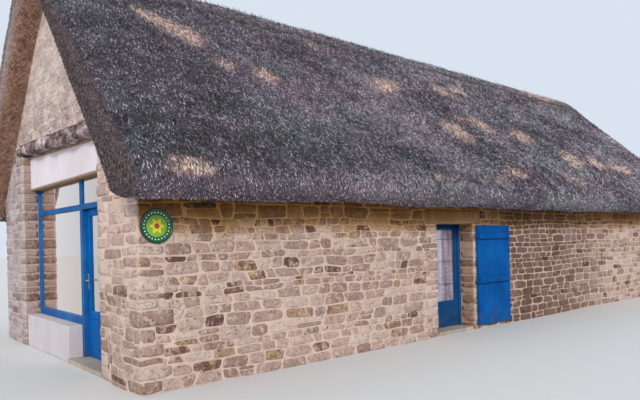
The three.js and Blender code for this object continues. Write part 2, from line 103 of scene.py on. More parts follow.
class Wire:
    """An output socket of a material. Operators on it add Math nodes."""

    def __init__(self, tree, socket=None):
        self.tree = tree
        self.socket = socket

    def node(self, kind, settings=None, inputs=None, out=0):
        """The output out of a new node, with its settings and the values or links of its inputs."""
        made = self.tree.nodes.new(kind)
        for key, value in (settings or {}).items():
            if key == "stops":
                ramp = made.color_ramp
                while len(ramp.elements) < len(value):
                    ramp.elements.new(0.5)
                for element, (position, color) in zip(ramp.elements, value):
                    element.position = position
                    element.color = color
            else:
                setattr(made, key, value)
        for key, value in (inputs or {}).items():
            if isinstance(value, Wire):
                self.tree.links.new(value.socket, made.inputs[key])
            else:
                made.inputs[key].default_value = value
        return Wire(self.tree, made.outputs[out] if len(made.outputs) else None)

    def maths(self, operation, *values, clamp=False):
        return self.node(
            "ShaderNodeMath",
            {"operation": operation, "use_clamp": clamp},
            dict(enumerate(values)),
        )

    def __gt__(self, other):
        return self.maths("GREATER_THAN", self, other)

    def __lt__(self, other):
        return self.maths("LESS_THAN", self, other)

    def of(self, operation):
        return self.maths(operation, self)

    def __add__(self, other):
        return self.maths("ADD", self, other)

    __radd__ = __add__

    def __mul__(self, other):
        return self.maths("MULTIPLY", self, other)

    __rmul__ = __mul__

    def __sub__(self, other):
        return self.maths("SUBTRACT", self, other)

    def __rsub__(self, other):
        return self.maths("SUBTRACT", other, self)

    def clipped(self):
        return self.maths("ADD", self, 0.0, clamp=True)

    def within(self, low, high):
        """1 between low and high, 0 elsewhere."""
        return (self > low) * (self < high)

    def band(self, low, high):
        """0 below low, 1 above high, smooth between."""
        return self.node(
            "ShaderNodeMapRange",
            {"interpolation_type": "SMOOTHSTEP"},
            {"Value": self, "From Min": low, "From Max": high},
        )

    def ramp(self, *stops):
        return self.node("ShaderNodeValToRGB", {"stops": stops}, {"Fac": self})

    def blended(self, under, over, blend="MIX"):
        """A colour that goes from under to over as this value goes from 0 to 1."""
        return self.node(
            "ShaderNodeMix",
            {"data_type": "RGBA", "blend_type": blend},
            {0: self, 6: under, 7: over},
            out=2,
        )

    def stretched(self, x, y, z):
        """Coordinates scaled along each axis."""
        return self.node("ShaderNodeVectorMath", {"operation": "MULTIPLY"}, {0: self, 1: (x, y, z)})

    def place(self):
        """Where a point of the surface is, in the frame."""
        return self.node("ShaderNodeTexCoord", out="Object")

    def painted(self, name):
        """A number that the mesh holds under a name."""
        return self.node("ShaderNodeAttribute", {"attribute_name": name}, out="Fac")

    def part(self, axis):
        return self.node("ShaderNodeSeparateXYZ", None, {"Vector": self}, out="XYZ".index(axis))

    def cloud(self, scale, detail=4.0, rough=0.55):
        return self.node(
            "ShaderNodeTexNoise",
            None,
            {"Vector": self, "Scale": scale, "Detail": detail, "Roughness": rough},
        )


def new_finish(name):
    """An empty material and a wire into its tree."""
    material = bpy.data.materials.new(name)
    material.use_nodes = True
    material.node_tree.nodes.clear()
    return material, Wire(material.node_tree)


def close_finish(material, color, roughness, relief=None, depth=0.002, **fixed):
    """Joins a colour, a roughness and a relief to the surface of a material."""
    tree = material.node_tree
    wire = Wire(tree)
    inputs = {"Base Color": color, "Roughness": roughness}
    inputs.update({key.replace("_", " "): value for key, value in fixed.items()})
    if relief is not None:
        inputs["Normal"] = wire.node(
            "ShaderNodeBump", None, {"Height": relief, "Distance": depth, "Strength": 1.0}
        )
    surface = wire.node("ShaderNodeBsdfPrincipled", None, inputs)
    wire.node("ShaderNodeOutputMaterial", None, {"Surface": surface})
    return material


def wear(name, material):
    """Gives a CAD node its material."""
    mesh = nodes[name].data
    mesh.materials.clear()
    mesh.materials.append(material)


floor_mesh = bpy.data.meshes.new("studio_floor")
floor_corners = ((-1, -1), (1, -1), (1, 1), (-1, 1))
floor_points = [(x * FLOOR_REACH, y * FLOOR_REACH, -FLOOR_DROP) for x, y in floor_corners]
floor_mesh.from_pydata(floor_points, [], [(0, 1, 2, 3)])
floor = bpy.data.objects.new("studio_floor", floor_mesh)
bpy.context.scene.collection.objects.link(floor)
floor_finish, wire = new_finish("studio_floor")
close_finish(floor_finish, srgb(214, 213, 210), 0.9)
floor_mesh.materials.append(floor_finish)

# Rubble walls
# Field stones of a hand's length to a forearm's, laid in rough courses in pale lime mortar and pointed nearly
# flush. The CAD walls are the mortar, and each stone stands up to a centimetre or so out of it.
WALL_LENGTH = 16.4
WALL_WIDTH = 5.6
WALL_TOP = 2.4
ROOF_PITCH = 1.1
INDOORS = 0.45
COURSE = (0.075, 0.160)
BED_SWAY = (0.045, 0.030)
STONE_RATIO = (1.1, 3.7)
LONGEST_STONE = 0.50
STONE_LEAN = 0.034
SPLIT_HEIGHT = 0.13
SPLIT_SHARE = 0.25
STONE_STAND = 0.012
OUTLINE_POINTS = 11
THINNEST_CELL = 0.03
THINNEST_STONE = 0.024
SMALLEST_STONE = 0.0012


def cut(polygon, nx, ny, limit):
    """The part of a convex polygon where nx * x + ny * y is at most limit."""
    kept = []
    for (ax, ay), (bx, by) in zip(polygon, polygon[1:] + polygon[:1]):
        da = nx * ax + ny * ay - limit
        db = nx * bx + ny * by - limit
        if da <= 0:
            kept.append((ax, ay))
        if (da < 0) != (db < 0) and da != db:
            t = da / (da - db)
            kept.append((ax + (bx - ax) * t, ay + (by - ay) * t))
    return kept


def area(polygon):
    """The area of a polygon."""
    pairs = zip(polygon, polygon[1:] + polygon[:1])
    return abs(sum(ax * by - bx * ay for (ax, ay), (bx, by) in pairs)) / 2


def keep_off(shape, hole, margin):
    """The largest part of a shape that lies beside, above or below a rectangular hole."""
    x0, y0, x1, y1 = hole
    xs = [p[0] for p in shape]
    ys = [p[1] for p in shape]
    if max(xs) <= x0 or min(xs) >= x1 or max(ys) <= y0 or min(ys) >= y1:
        return shape
    sides = [(1, 0, x0 - margin), (-1, 0, -x1 - margin), (0, 1, y0 - margin), (0, -1, -y1 - margin)]
    parts = [cut(shape, *side) for side in sides]
    return max(parts, key=lambda part: area(part) if len(part) > 2 else 0)


def lay_courses(low, high, course, ratio, rng):
    """Four-cornered places for stones, in courses whose beds wander, some of them split in two."""
    cells = []
    beds = [low[1] - rng.uniform(0, 0.04)]
    while beds[-1] < high[1] + 0.05:
        beds.append(beds[-1] + rng.uniform(*course))
    shift = rng.uniform(0, 90)

    def bed(k, x):
        sway = noise.noise(Vector((x * 0.55, k * 0.35, shift))) * BED_SWAY[0]
        return beds[k] + sway + noise.noise(Vector((x * 3.3, k * 1.7, shift))) * BED_SWAY[1]

    for k in range(len(beds) - 1):
        height = beds[k + 1] - beds[k]
        x = low[0] - rng.uniform(0.05, 0.3)
        lean = 0.0
        while x < high[0]:
            run = min(LONGEST_STONE, height * rng.uniform(*ratio))
            next_lean = rng.uniform(-STONE_LEAN, STONE_LEAN)
            a = (x - lean, bed(k, x))
            b = (x + run - next_lean, bed(k, x + run))
            c = (x + run + next_lean, bed(k + 1, x + run))
            d = (x + lean, bed(k + 1, x))
            if height > SPLIT_HEIGHT and rng.random() < SPLIT_SHARE:
                t = rng.uniform(0.36, 0.62)
                u = min(0.64, max(0.36, t + rng.uniform(-0.09, 0.09)))
                m = (a[0] + (d[0] - a[0]) * t, a[1] + (d[1] - a[1]) * t)
                n = (b[0] + (c[0] - b[0]) * u, b[1] + (c[1] - b[1]) * u)
                cells.append((a, b, n, m))
                cells.append((m, n, c, d))
            else:
                cells.append((a, b, c, d))
            lean = next_lean
            x += run
    return cells


def inside_cell(cell, u, v):
    """The point of a four-cornered cell at u across and v up, each from -1 to 1."""
    a, b, c, d = cell
    s, t = (u + 1) / 2, (v + 1) / 2
    return tuple(
        (a[i] * (1 - s) + b[i] * s) * (1 - t) + (d[i] * (1 - s) + c[i] * s) * t for i in (0, 1)
    )


def circle(count, turn=0.0):
    """The cosine and sine of count angles, evenly round from turn steps on."""
    angles = [2 * math.pi * (i + turn) / count for i in range(count)]
    return [(math.cos(angle), math.sin(angle)) for angle in angles]


def stone_shapes(low, high, holes, edges, course, ratio, joints, rng, squares=(0.18, 0.62), ragged=0.88):
    """Rounded uneven outlines of the stones in a rectangle, kept off holes and inside straight edges.

    squares is the range of their roundness, 0 for square and 1 for oval. ragged is how far in, as a share of
    the stone, a point of the outline may fall.
    """
    shapes = []
    for cell in lay_courses(low, high, course, ratio, rng):
        width = math.dist(cell[0], cell[1])
        height = math.dist(cell[0], cell[3])
        if min(width, height) < THINNEST_CELL:
            continue
        square = rng.uniform(*squares)
        gap_x = 1 - 2 * rng.uniform(*joints) / width
        gap_y = 1 - 2 * rng.uniform(*joints) / height
        turn = rng.uniform(0, 0.5)
        shape = []
        for c, s in circle(OUTLINE_POINTS, turn):
            rough = rng.uniform(ragged, 1.0)
            u = math.copysign(abs(c) ** square, c) * gap_x * rough
            v = math.copysign(abs(s) ** square, s) * gap_y * rough
            shape.append(inside_cell(cell, u, v))
        margin = joints[0]
        borders = [(-1, 0, -low[0]), (1, 0, high[0]), (0, -1, -low[1]), (0, 1, high[1]), *edges]
        for nx, ny, limit in borders:
            if len(shape) > 2:
                shape = cut(shape, nx, ny, limit - margin * math.hypot(nx, ny))
        for hole in holes:
            if len(shape) > 2:
                shape = keep_off(shape, hole, margin)
        if len(shape) < 4 or area(shape) < SMALLEST_STONE:
            continue
        xs = [p[0] for p in shape]
        ys = [p[1] for p in shape]
        if min(max(xs) - min(xs), max(ys) - min(ys)) < THINNEST_STONE:
            continue
        shapes.append(shape)
    return shapes


def bridge(bm, rings, closed=False):
    """Faces from each ring of vertices to the next, and from the last to the first where it is closed."""
    following = rings[1:] + rings[:1] if closed else rings[1:]
    for a, b in zip(rings, following):
        for i in range(len(a)):
            k = (i + 1) % len(a)
            bm.faces.new((a[i], a[k], b[k], b[i]))


def add_stone(bm, shape, place, stand, rng, tone_layer):
    """One stone: its outline rounded up to a rough face."""
    cx = sum(p[0] for p in shape) / len(shape)
    cy = sum(p[1] for p in shape) / len(shape)
    tilt_x = rng.uniform(-0.02, 0.02)
    tilt_y = rng.uniform(-0.03, 0.03)
    top = stand * rng.uniform(0.35, 1.0)
    tone = rng.random()
    rings = []
    for shrink, height in ((0.0, -0.004), (0.005, top * 0.70), (0.020, top)):
        ring = []
        for x, y in shape:
            dx, dy = x - cx, y - cy
            size = math.hypot(dx, dy)
            keep = max(0.3, 1 - (shrink + rng.uniform(0, 0.006)) / max(size, 0.02))
            lift = height + (tilt_x * dx + tilt_y * dy + rng.uniform(-0.002, 0.002)) * (height > 0)
            vert = bm.verts.new(place(cx + dx * keep, cy + dy * keep, min(lift, stand * 1.15)))
            vert[tone_layer] = tone
            ring.append(vert)
        rings.append(ring)
    middle = bm.verts.new(place(cx, cy, min(top + rng.uniform(-0.002, 0.003), stand * 1.15)))
    middle[tone_layer] = tone
    bridge(bm, rings)
    count = len(shape)
    for i in range(count):
        bm.faces.new((rings[-1][i], rings[-1][(i + 1) % count], middle))


def finish_mesh(bm, name, material, body="cottage", smooth=True):
    """Turns a bmesh into a piece that rides on a body."""
    bmesh.ops.recalc_face_normals(bm, faces=bm.faces)
    mesh = bpy.data.meshes.new(name)
    bm.to_mesh(mesh)
    bm.free()
    piece = bpy.data.objects.new(name, mesh)
    bpy.context.scene.collection.objects.link(piece)
    for polygon in mesh.polygons:
        polygon.use_smooth = smooth
    mesh.materials.append(material)
    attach(piece, body)
    return piece


def rubble_finish(name, stops, speck, by_place):
    """Stone whose colour differs from one to the next, mottled and pitted. The last argument changes it by
    place, with stains and painted light and shade where it is given.
    """
    material, wire = new_finish(name)
    where = wire.place()
    tone = wire.painted("tone")
    patches = where.cloud(9.0, 6.0, 0.7)
    grain = where.cloud(75.0, 4.0, 0.65)
    base = (tone + (patches - 0.5) * 0.45).clipped().ramp(*stops)
    specks = where.cloud(42.0, 6.0, 0.75)
    color = (specks.band(0.50, 0.64) * 0.65).blended(base, speck)
    smeared = where.cloud(11.0, 6.0, 0.74).band(0.50, 0.62)
    color = (smeared * 0.60).blended(color, srgb(208, 186, 172))
    pits = where.cloud(30.0, 5.0, 0.8).band(0.36, 0.44)
    color = ((1 - pits) * 0.60).blended(color, srgb(84, 64, 56))
    relief = grain * 0.6 + where.cloud(26.0, 5.0, 0.7) * 1.4 + pits * 0.5
    return close_finish(material, by_place(where, color), 0.92, relief, 0.010)


# An ochre stain under the eaves that also carries painted shade, darkest and warmest at the eave
EAVE_STAIN_AND_SHADE_FADE = (1.66, 2.10)
EAVE_STAIN_AND_SHADE_STOPS = (
    (0.00, srgb(255, 255, 255)),
    (0.14, srgb(254, 247, 232)),
    (0.36, srgb(249, 225, 178)),
    (0.54, srgb(240, 207, 138)),
    (0.72, srgb(220, 176, 98)),
    (1.00, srgb(192, 150, 62)),
)
# Tint of the painted bluish shade on the gable's rear pier
REAR_PIER_SHADE_TINT = srgb(236, 244, 255)
# Tint of the painted shade from a shrub, past the shutter
SHRUB_SHADE_TINT = srgb(208, 193, 184)
# Tints of the painted shade in the two reveals
REVEAL_SHADES = (
    ((0.016, 0.24), (4.40, 4.48), srgb(216, 214, 216)),
    ((5.95, 6.00), (0.004, 0.30), srgb(208, 198, 184)),
)


def stained_and_shaded_wall(where, color, shade_depth=0.42):
    """A wall's colour, changed by its place on the building: an ochre stain with painted shade under the
    eaves, painted shade on the gable's rear pier, in both reveals and past the shutter, and painted light
    high on the gable's front pier. The last argument is how much the painted shade darkens it further.
    """
    across, deep, up = (where.part(axis) for axis in "XYZ")

    # Ochre stain under both eaves, with painted shade that darkens it towards the eave
    drift = up + (where.cloud(1.6, 4.0, 0.6) - 0.5) * 0.34
    stain_and_shade = drift.node("ShaderNodeMapRange", None, {0: drift, 1: EAVE_STAIN_AND_SHADE_FADE[0], 2: EAVE_STAIN_AND_SHADE_FADE[1]})
    off_middle = (deep - (corner.y + WALL_WIDTH / 2)).of("ABSOLUTE")
    long_walls = across.band(corner.x - 0.002, corner.x + 0.014) * (off_middle > 2.2)
    color = long_walls.blended(color, stain_and_shade.ramp(*EAVE_STAIN_AND_SHADE_STOPS), "MULTIPLY")
    color = (stain_and_shade * long_walls * shade_depth).blended(color, srgb(0, 0, 0))

    # Painted bluish shade on the gable's rear pier, under the verge
    rear_pier_shade = (across < corner.x + 0.06) * deep.band(corner.y + 4.3, corner.y + 4.6)
    color = (rear_pier_shade * 0.17).blended(rear_pier_shade.blended(color, REAR_PIER_SHADE_TINT, "MULTIPLY"), srgb(204, 194, 204))

    # Painted shade in the reveals of the glazed gable and of the front door
    for x_bounds, y_bounds, tint in REVEAL_SHADES:
        reveal_shade = across.within(corner.x + x_bounds[0], corner.x + x_bounds[1])
        reveal_shade = reveal_shade * deep.within(corner.y + y_bounds[0], corner.y + y_bounds[1])
        color = reveal_shade.blended(color, tint, "MULTIPLY")

    # Painted light, paler high on the gable's front pier where the verge's shadow falls
    painted_light_high = (across < corner.x + 0.02) * (deep < corner.y + 1.4)
    color = (painted_light_high * up.band(0.9, 1.7) * 0.34).blended(color, srgb(232, 202, 188))

    # Painted shade on the front wall past the shutter, where a shrub's shadow falls, darker and browner
    along = across - corner.x + (where.cloud(1.3, 4.0, 0.65) - 0.5) * 2.4
    shrub_shade = along.band(6.4, 7.3) * (1 - along.band(8.2, 12.0)) * (deep < corner.y + 0.4)
    color = (shrub_shade * (shade_depth + 0.5)).blended(color, SHRUB_SHADE_TINT, "MULTIPLY")
    return (shrub_shade * shade_depth * 1.3).blended(color, srgb(56, 30, 20))


FIELD_STOPS = [
    (0.00, srgb(86, 58, 48)),
    (0.08, srgb(112, 82, 70)),
    (0.09, srgb(160, 126, 90)),
    (0.13, srgb(172, 140, 108)),
    (0.16, srgb(138, 110, 99)),
    (0.42, srgb(162, 134, 122)),
    (0.66, srgb(178, 151, 139)),
    (0.86, srgb(191, 167, 155)),
    (1.00, srgb(202, 181, 169)),
]
field_stone = rubble_finish("field_stone", FIELD_STOPS, srgb(146, 120, 110), stained_and_shaded_wall)

mortar, wire = new_finish("lime_mortar")
where = wire.place()
sand = where.cloud(160.0, 3.0, 0.7)
blotch = where.cloud(3.5, 4.0, 0.6)
outside = blotch.ramp(
    (0.25, srgb(184, 158, 144)),
    (0.50, srgb(199, 174, 160)),
    (0.8, srgb(212, 190, 177)),
)
outside = (where.cloud(34.0, 4.0, 0.7).band(0.56, 0.70) * 0.5).blended(outside, srgb(176, 150, 136))
# Painted shade in a few deep open joints beside the stones
shaded_open_joints = where.stretched(1, 1, 2.6).cloud(13.0, 5.0, 0.7).band(0.60, 0.65)
outside = (shaded_open_joints * 0.7).blended(outside, srgb(96, 72, 60))
outside = stained_and_shaded_wall(where, outside, 0.0)
inside = blotch.ramp((0.2, srgb(222, 217, 208)), (0.8, srgb(238, 234, 226)))
room_low = corner + Vector((INDOORS, INDOORS, 0))
room_high = corner + Vector((WALL_LENGTH - INDOORS, WALL_WIDTH - INDOORS, 0))
indoors = where.part("X").within(room_low.x, room_high.x) * where.part("Y").within(room_low.y, room_high.y)
close_finish(
    mortar,
    indoors.blended(outside, inside),
    0.95,
    sand + where.cloud(30.0, 3.0, 0.6) * 1.5,
    0.003,
)
for name in (
    "gable_wall_front",
    "gable_wall_rear",
    "front_wall_left",
    "front_wall_right",
    "front_wall_over_door",
    "rear_wall",
    "end_wall",
):
    wear(name, mortar)


def wall_place(origin, along, out):
    """A function that takes a wall's own across, up and out to the frame."""

    def place(x, y, lift):
        return origin + along * x + upright * y + out * lift

    return place


# Corner stones
# The corners and jambs are longer stones, laid long and short in turn so that they tie both faces together.
# Each is a rough block with its arrises worn round.
QUOIN_HEIGHT = (0.09, 0.19)
QUOIN_STAND = 0.013
QUOIN_CUTS = 3
QUOIN_WORN = 0.012
QUOIN_BED = (0.005, 0.011)
RUN_VARIES = 0.07
LEAST_HEIGHT = 0.08

# Vector noise starts from the clock unless it is seeded
NOISE_SEED = 1
noise.seed_set(NOISE_SEED)
quoin_rng = random.Random(11)
quoins = bmesh.new()
quoin_tone = quoins.verts.layers.float.new("tone")
face_holes = {"front": [], "gable": [], "rear": [], "end": []}


def add_block(bm, tone_layer, low, high, worn, rng, cuts=QUOIN_CUTS, rough=0.011, tones=(0.09, 1.0)):
    """A rough block with worn arrises, between two corners."""
    block = bmesh.new()
    bmesh.ops.create_cube(block, size=2.0)
    bmesh.ops.subdivide_edges(block, edges=block.edges[:], cuts=cuts, use_grid_fill=True)
    size = high - low
    middle = (low + high) / 2
    tone = rng.uniform(*tones)
    shift = Vector((rng.uniform(0, 50), 0, 0))
    copies = {}
    for v in block.verts:
        point = v.co
        place = Vector([middle[i] + point[i] * size[i] / 2 for i in range(3)])
        on_arris = sum(abs(point[i]) > 0.99 for i in range(3))
        if on_arris > 1:
            for i in range(3):
                if abs(point[i]) > 0.99:
                    place[i] -= math.copysign(worn * (0.55 if on_arris == 2 else 0.9), point[i])
        place += noise.noise_vector(place * 8.0 + shift) * rough
        copies[v] = bm.verts.new(place)
        copies[v][tone_layer] = tone
    for face in block.faces:
        bm.faces.new([copies[v] for v in face.verts])
    block.free()


def stack_quoins(x, y, x_sign, y_sign, z0, z1, x_runs, y_runs, x_face, y_face):
    """Blocks up an arris at x, y. x_runs are the lengths along X, y_runs along Y, long and short in turn.

    x_face and y_face name the faces whose field stones have to leave room for them.
    """
    z = z0
    turn = quoin_rng.random() < 0.5
    while z < z1 - 0.06:
        height = min(quoin_rng.uniform(*QUOIN_HEIGHT), z1 - z)
        if z1 - z - height < LEAST_HEIGHT:
            height = z1 - z
        x_run = x_runs[turn] + quoin_rng.uniform(-RUN_VARIES, RUN_VARIES) * (x_runs[0] != x_runs[1])
        y_run = y_runs[turn] + quoin_rng.uniform(-RUN_VARIES, RUN_VARIES) * (y_runs[0] != y_runs[1])
        stand = QUOIN_STAND * quoin_rng.uniform(0.6, 1.0)
        xs = sorted((x - x_sign * stand, x + x_sign * x_run))
        ys = sorted((y - y_sign * stand, y + y_sign * y_run))
        bed = quoin_rng.uniform(*QUOIN_BED)
        low = corner + Vector((xs[0], ys[0], z + bed))
        high = corner + Vector((xs[1], ys[1], z + height - bed))
        add_block(quoins, quoin_tone, low, high, QUOIN_WORN, quoin_rng)
        if x_face:
            run = sorted((x, x + x_sign * x_run))
            face_holes[x_face].append((run[0], z, run[1], z + height))
        if y_face:
            run = sorted((y, y + y_sign * y_run))
            face_holes[y_face].append((run[0], z, run[1], z + height))
        z += height
        turn = not turn


LONG_SHORT = (0.33, 0.18)
SHORT_LONG = (0.18, 0.33)
QUOIN_TOP = 2.39
for x, x_sign, end_face in ((0, 1, "gable"), (WALL_LENGTH, -1, "end")):
    for y, y_sign, side_face in ((0, 1, "front"), (WALL_WIDTH, -1, "rear")):
        stack_quoins(x, y, x_sign, y_sign, 0, QUOIN_TOP, LONG_SHORT, SHORT_LONG, side_face, end_face)
GABLE_JAMBS = (1.109, 4.453)
GABLE_HEADS = (2.89, 3.03)
GABLE_REVEAL = (0.218, 0.218)
stack_quoins(0, GABLE_JAMBS[0], 1, -1, 0, GABLE_HEADS[0], GABLE_REVEAL, (0.30, 0.16), None, "gable")
stack_quoins(0, GABLE_JAMBS[1], 1, 1, 0, GABLE_HEADS[1], GABLE_REVEAL, (0.32, 0.18), None, "gable")
FRONT_JAMBS = (4.984, 5.980)
FRONT_HEAD = 1.81
FRONT_REVEAL = (0.262, 0.262)
for x, sign in zip(FRONT_JAMBS, (-1, 1)):
    stack_quoins(x, 0, sign, 1, 0, FRONT_HEAD, (0.32, 0.17), FRONT_REVEAL, "front", None)
REAR_WINDOW = (8.2, 0.85, 9.2, 1.82)
REAR_REVEAL = (0.185, 0.185)
for x, sign in ((REAR_WINDOW[0], -1), (REAR_WINDOW[2], 1)):
    sill, head = REAR_WINDOW[1], REAR_WINDOW[3]
    stack_quoins(x, WALL_WIDTH, sign, -1, sill, head, (0.30, 0.16), REAR_REVEAL, "rear", None)
finish_mesh(quoins, "corner_stones", field_stone)

# Field stones between the corners
# Each face of the walls is filled with field stones that leave room for the corner stones, the openings and
# their lintels. The gable's two piers are one face, cut by the glazed opening and by the roof.
LINTEL_STONE = (4.74, 1.82, 6.212, 2.05)
REAR_LINTEL = (7.98, 1.82, 9.42, 2.05)
PIER_TOP = 3.2
JOINTS = (-0.004, 0.005)
under_roof = [(-ROOF_PITCH, 1, WALL_TOP), (ROOF_PITCH, 1, WALL_TOP + ROOF_PITCH * WALL_WIDTH)]
walls = [
    (
        "front_wall_stones",
        wall_place(corner, Vector((1, 0, 0)), Vector((0, -1, 0))),
        (WALL_LENGTH, WALL_TOP),
        [(FRONT_JAMBS[0], 0, FRONT_JAMBS[1], LINTEL_STONE[1]), LINTEL_STONE, *face_holes["front"]],
        [],
        21,
    ),
    (
        "rear_wall_stones",
        wall_place(corner + Vector((0, WALL_WIDTH, 0)), Vector((1, 0, 0)), Vector((0, 1, 0))),
        (WALL_LENGTH, WALL_TOP),
        [REAR_WINDOW, REAR_LINTEL, *face_holes["rear"]],
        [],
        22,
    ),
    (
        "end_wall_stones",
        wall_place(corner + Vector((WALL_LENGTH, 0, 0)), Vector((0, 1, 0)), Vector((1, 0, 0))),
        (WALL_WIDTH, WALL_TOP),
        face_holes["end"],
        [],
        23,
    ),
    (
        "gable_pier_stones",
        wall_place(corner, Vector((0, 1, 0)), Vector((-1, 0, 0))),
        (WALL_WIDTH, PIER_TOP),
        [(GABLE_JAMBS[0], 0, GABLE_JAMBS[1], PIER_TOP), *face_holes["gable"]],
        under_roof,
        24,
    ),
]
for name, place, high, holes, edges, seed in walls:
    rng = random.Random(seed)
    stones = bmesh.new()
    tone_layer = stones.verts.layers.float.new("tone")
    for shape in stone_shapes((0, 0), high, holes, edges, COURSE, STONE_RATIO, JOINTS, rng):
        add_stone(stones, shape, place, STONE_STAND, rng, tone_layer)
    finish_mesh(stones, name, field_stone)

# Upper gable
# Small thin stones, brushed over with limewash that has weathered to cream and grey and hides most joints.
LIMEWASH_STOPS = [
    (0.00, srgb(132, 112, 106)),
    (0.15, srgb(160, 138, 130)),
    (0.55, srgb(182, 160, 152)),
    (1.00, srgb(204, 184, 174)),
]
UPPER_COURSE = (0.030, 0.075)
UPPER_RATIO = (1.1, 3.0)
UPPER_JOINTS = (0.0, 0.007)
UPPER_STAND = 0.008
KINK = (2.1, 4.71)
UPPER_PITCH = 0.814
BEAM_SLOPE = 0.0373
BEAM_TOP = 3.13


def uneven_wash(where, color):
    """Limewash that lies thick in cream clouds and near the apex, and thin in greyish pink ones."""
    clouds = where.stretched(1, 0.5, 1).cloud(5.0, 5.0, 0.7)
    color = (clouds.band(0.50, 0.60) * 0.45).blended(color, srgb(230, 214, 198))
    color = ((1 - clouds.band(0.40, 0.50)) * 0.50).blended(color, srgb(150, 127, 125))
    return (where.part("Z").band(3.3, 4.4) * 0.30).blended(color, srgb(222, 206, 198))


limewashed = rubble_finish("limewashed_stone", LIMEWASH_STOPS, srgb(158, 138, 128), uneven_wash)
limewash, wire = new_finish("limewash")
where = wire.place()
blotch = where.stretched(1, 0.5, 1).cloud(12.0, 6.0, 0.78)
specks = where.stretched(1, 0.5, 1).cloud(42.0, 5.0, 0.8)
wash = blotch.ramp((0.36, srgb(144, 122, 113)), (0.5, srgb(190, 169, 160)), (0.64, srgb(216, 199, 188)))
wash = (specks.band(0.52, 0.64) * 0.75).blended(wash, srgb(122, 99, 91))
close_finish(limewash, uneven_wash(where, wash), 0.95, specks + blotch, 0.010)
wear("gable_wall_top", limewash)
rng = random.Random(25)
stones = bmesh.new()
tone_layer = stones.verts.layers.float.new("tone")
upper_edges = [
    *under_roof,
    (-UPPER_PITCH, 1, KINK[1] - UPPER_PITCH * KINK[0]),
    (UPPER_PITCH, 1, KINK[1] + UPPER_PITCH * (WALL_WIDTH - KINK[0])),
    (BEAM_SLOPE, -1, BEAM_SLOPE - BEAM_TOP),
]
upper_place = wall_place(corner, Vector((0, 1, 0)), Vector((-1, 0, 0)))
upper_box = ((0.6, 3.1), (5.0, 5.3))
upper_laying = (UPPER_COURSE, UPPER_RATIO, UPPER_JOINTS, rng)
for shape in stone_shapes(*upper_box, [], upper_edges, *upper_laying, squares=(0.5, 1.0), ragged=0.62):
    add_stone(stones, shape, upper_place, UPPER_STAND, rng, tone_layer)
finish_mesh(stones, "upper_gable_stones", limewashed)

# Door and window lintels
# Long roughly squared stones that carry the masonry over the doorway and the rear window.
lintels = bmesh.new()
lintel_tone = lintels.verts.layers.float.new("tone")
rng = random.Random(31)
for name in ("front_door_lintel", "rear_window_lintel"):
    low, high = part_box(name)
    add_block(lintels, lintel_tone, low, high, 0.010, rng, 9, 0.006, (0.75, 0.95))
lintel_piece = finish_mesh(lintels, "stone_lintels", field_stone)
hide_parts("front_door_lintel", "rear_window_lintel")

# Gable beam
# One rough old timber over the glazed opening, never squared, weathered grey and dark brown in blotches.
beam_low, beam_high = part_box("gable_beam")
BEAM_STEPS = 150
BEAM_ROUND = 28
BEAM_BOTTOMS = (2.936, 3.066)
BEAM_TOPS = (3.130, 3.265)
BEAM_ROUGH = (0.030, 0.010)
BEAM_TAPER = 0.25
TAPER_FROM = 0.7
beam = bmesh.new()
beam_rings = []
for i in range(BEAM_STEPS + 1):
    t = i / BEAM_STEPS
    y = beam_low.y + (beam_high.y - beam_low.y) * t
    bottom = BEAM_BOTTOMS[0] + (BEAM_BOTTOMS[1] - BEAM_BOTTOMS[0]) * t
    top = BEAM_TOPS[0] + (BEAM_TOPS[1] - BEAM_TOPS[0]) * t
    middle = Vector(((beam_low.x + beam_high.x) / 2, y, (bottom + top) / 2))
    taper = 1 - BEAM_TAPER * max(0, (t - TAPER_FROM) / (1 - TAPER_FROM)) ** 1.5
    swell = taper * (1.04 + 0.20 * noise.noise(Vector((y * 2.6, 3.1, 0))))
    shift = 0.030 * noise.noise(Vector((y * 2.1, 0, 7.7)))
    ring = []
    for c, s in circle(BEAM_ROUND):
        box_x = math.copysign(abs(c) ** 0.35, c)
        box_z = math.copysign(abs(s) ** 0.45, s)
        half_x = (beam_high.x - beam_low.x) / 2
        half_z = (top - bottom) / 2 * swell
        point = middle + Vector((half_x * box_x, 0, half_z * box_z + shift))
        rough = noise.noise(Vector((point.x * 7, y * 2.8, point.z * 7)))
        fine = noise.noise(Vector((point.x * 30, y * 9, point.z * 30)))
        out = Vector((c * (c < 0), 0, s))
        ring.append(beam.verts.new(point + out * (BEAM_ROUGH[0] * rough + BEAM_ROUGH[1] * fine)))
    beam_rings.append(ring)
bridge(beam, beam_rings)
beam.faces.new(beam_rings[0])
beam.faces.new(list(reversed(beam_rings[-1])))
weathered, wire = new_finish("weathered_timber")
where = wire.place()
grain = where.stretched(22, 5, 22).cloud(1.6, 6.0, 0.7)
knots = where.cloud(9.0, 5.0, 0.7)
bleached = where.stretched(1, 0.8, 1).cloud(3.4, 4.0, 0.6)
beam_color = (grain * 0.25 + knots * 0.25 + bleached * 0.5).ramp(
    (0.42, srgb(50, 38, 36)),
    (0.48, srgb(104, 84, 79)),
    (0.53, srgb(156, 134, 133)),
    (0.60, srgb(210, 192, 192)),
)
close_finish(weathered, beam_color, 0.9, grain + knots * 0.5, 0.010)
beam_piece = finish_mesh(beam, "gable_beam_timber", weathered)
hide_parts("gable_beam")

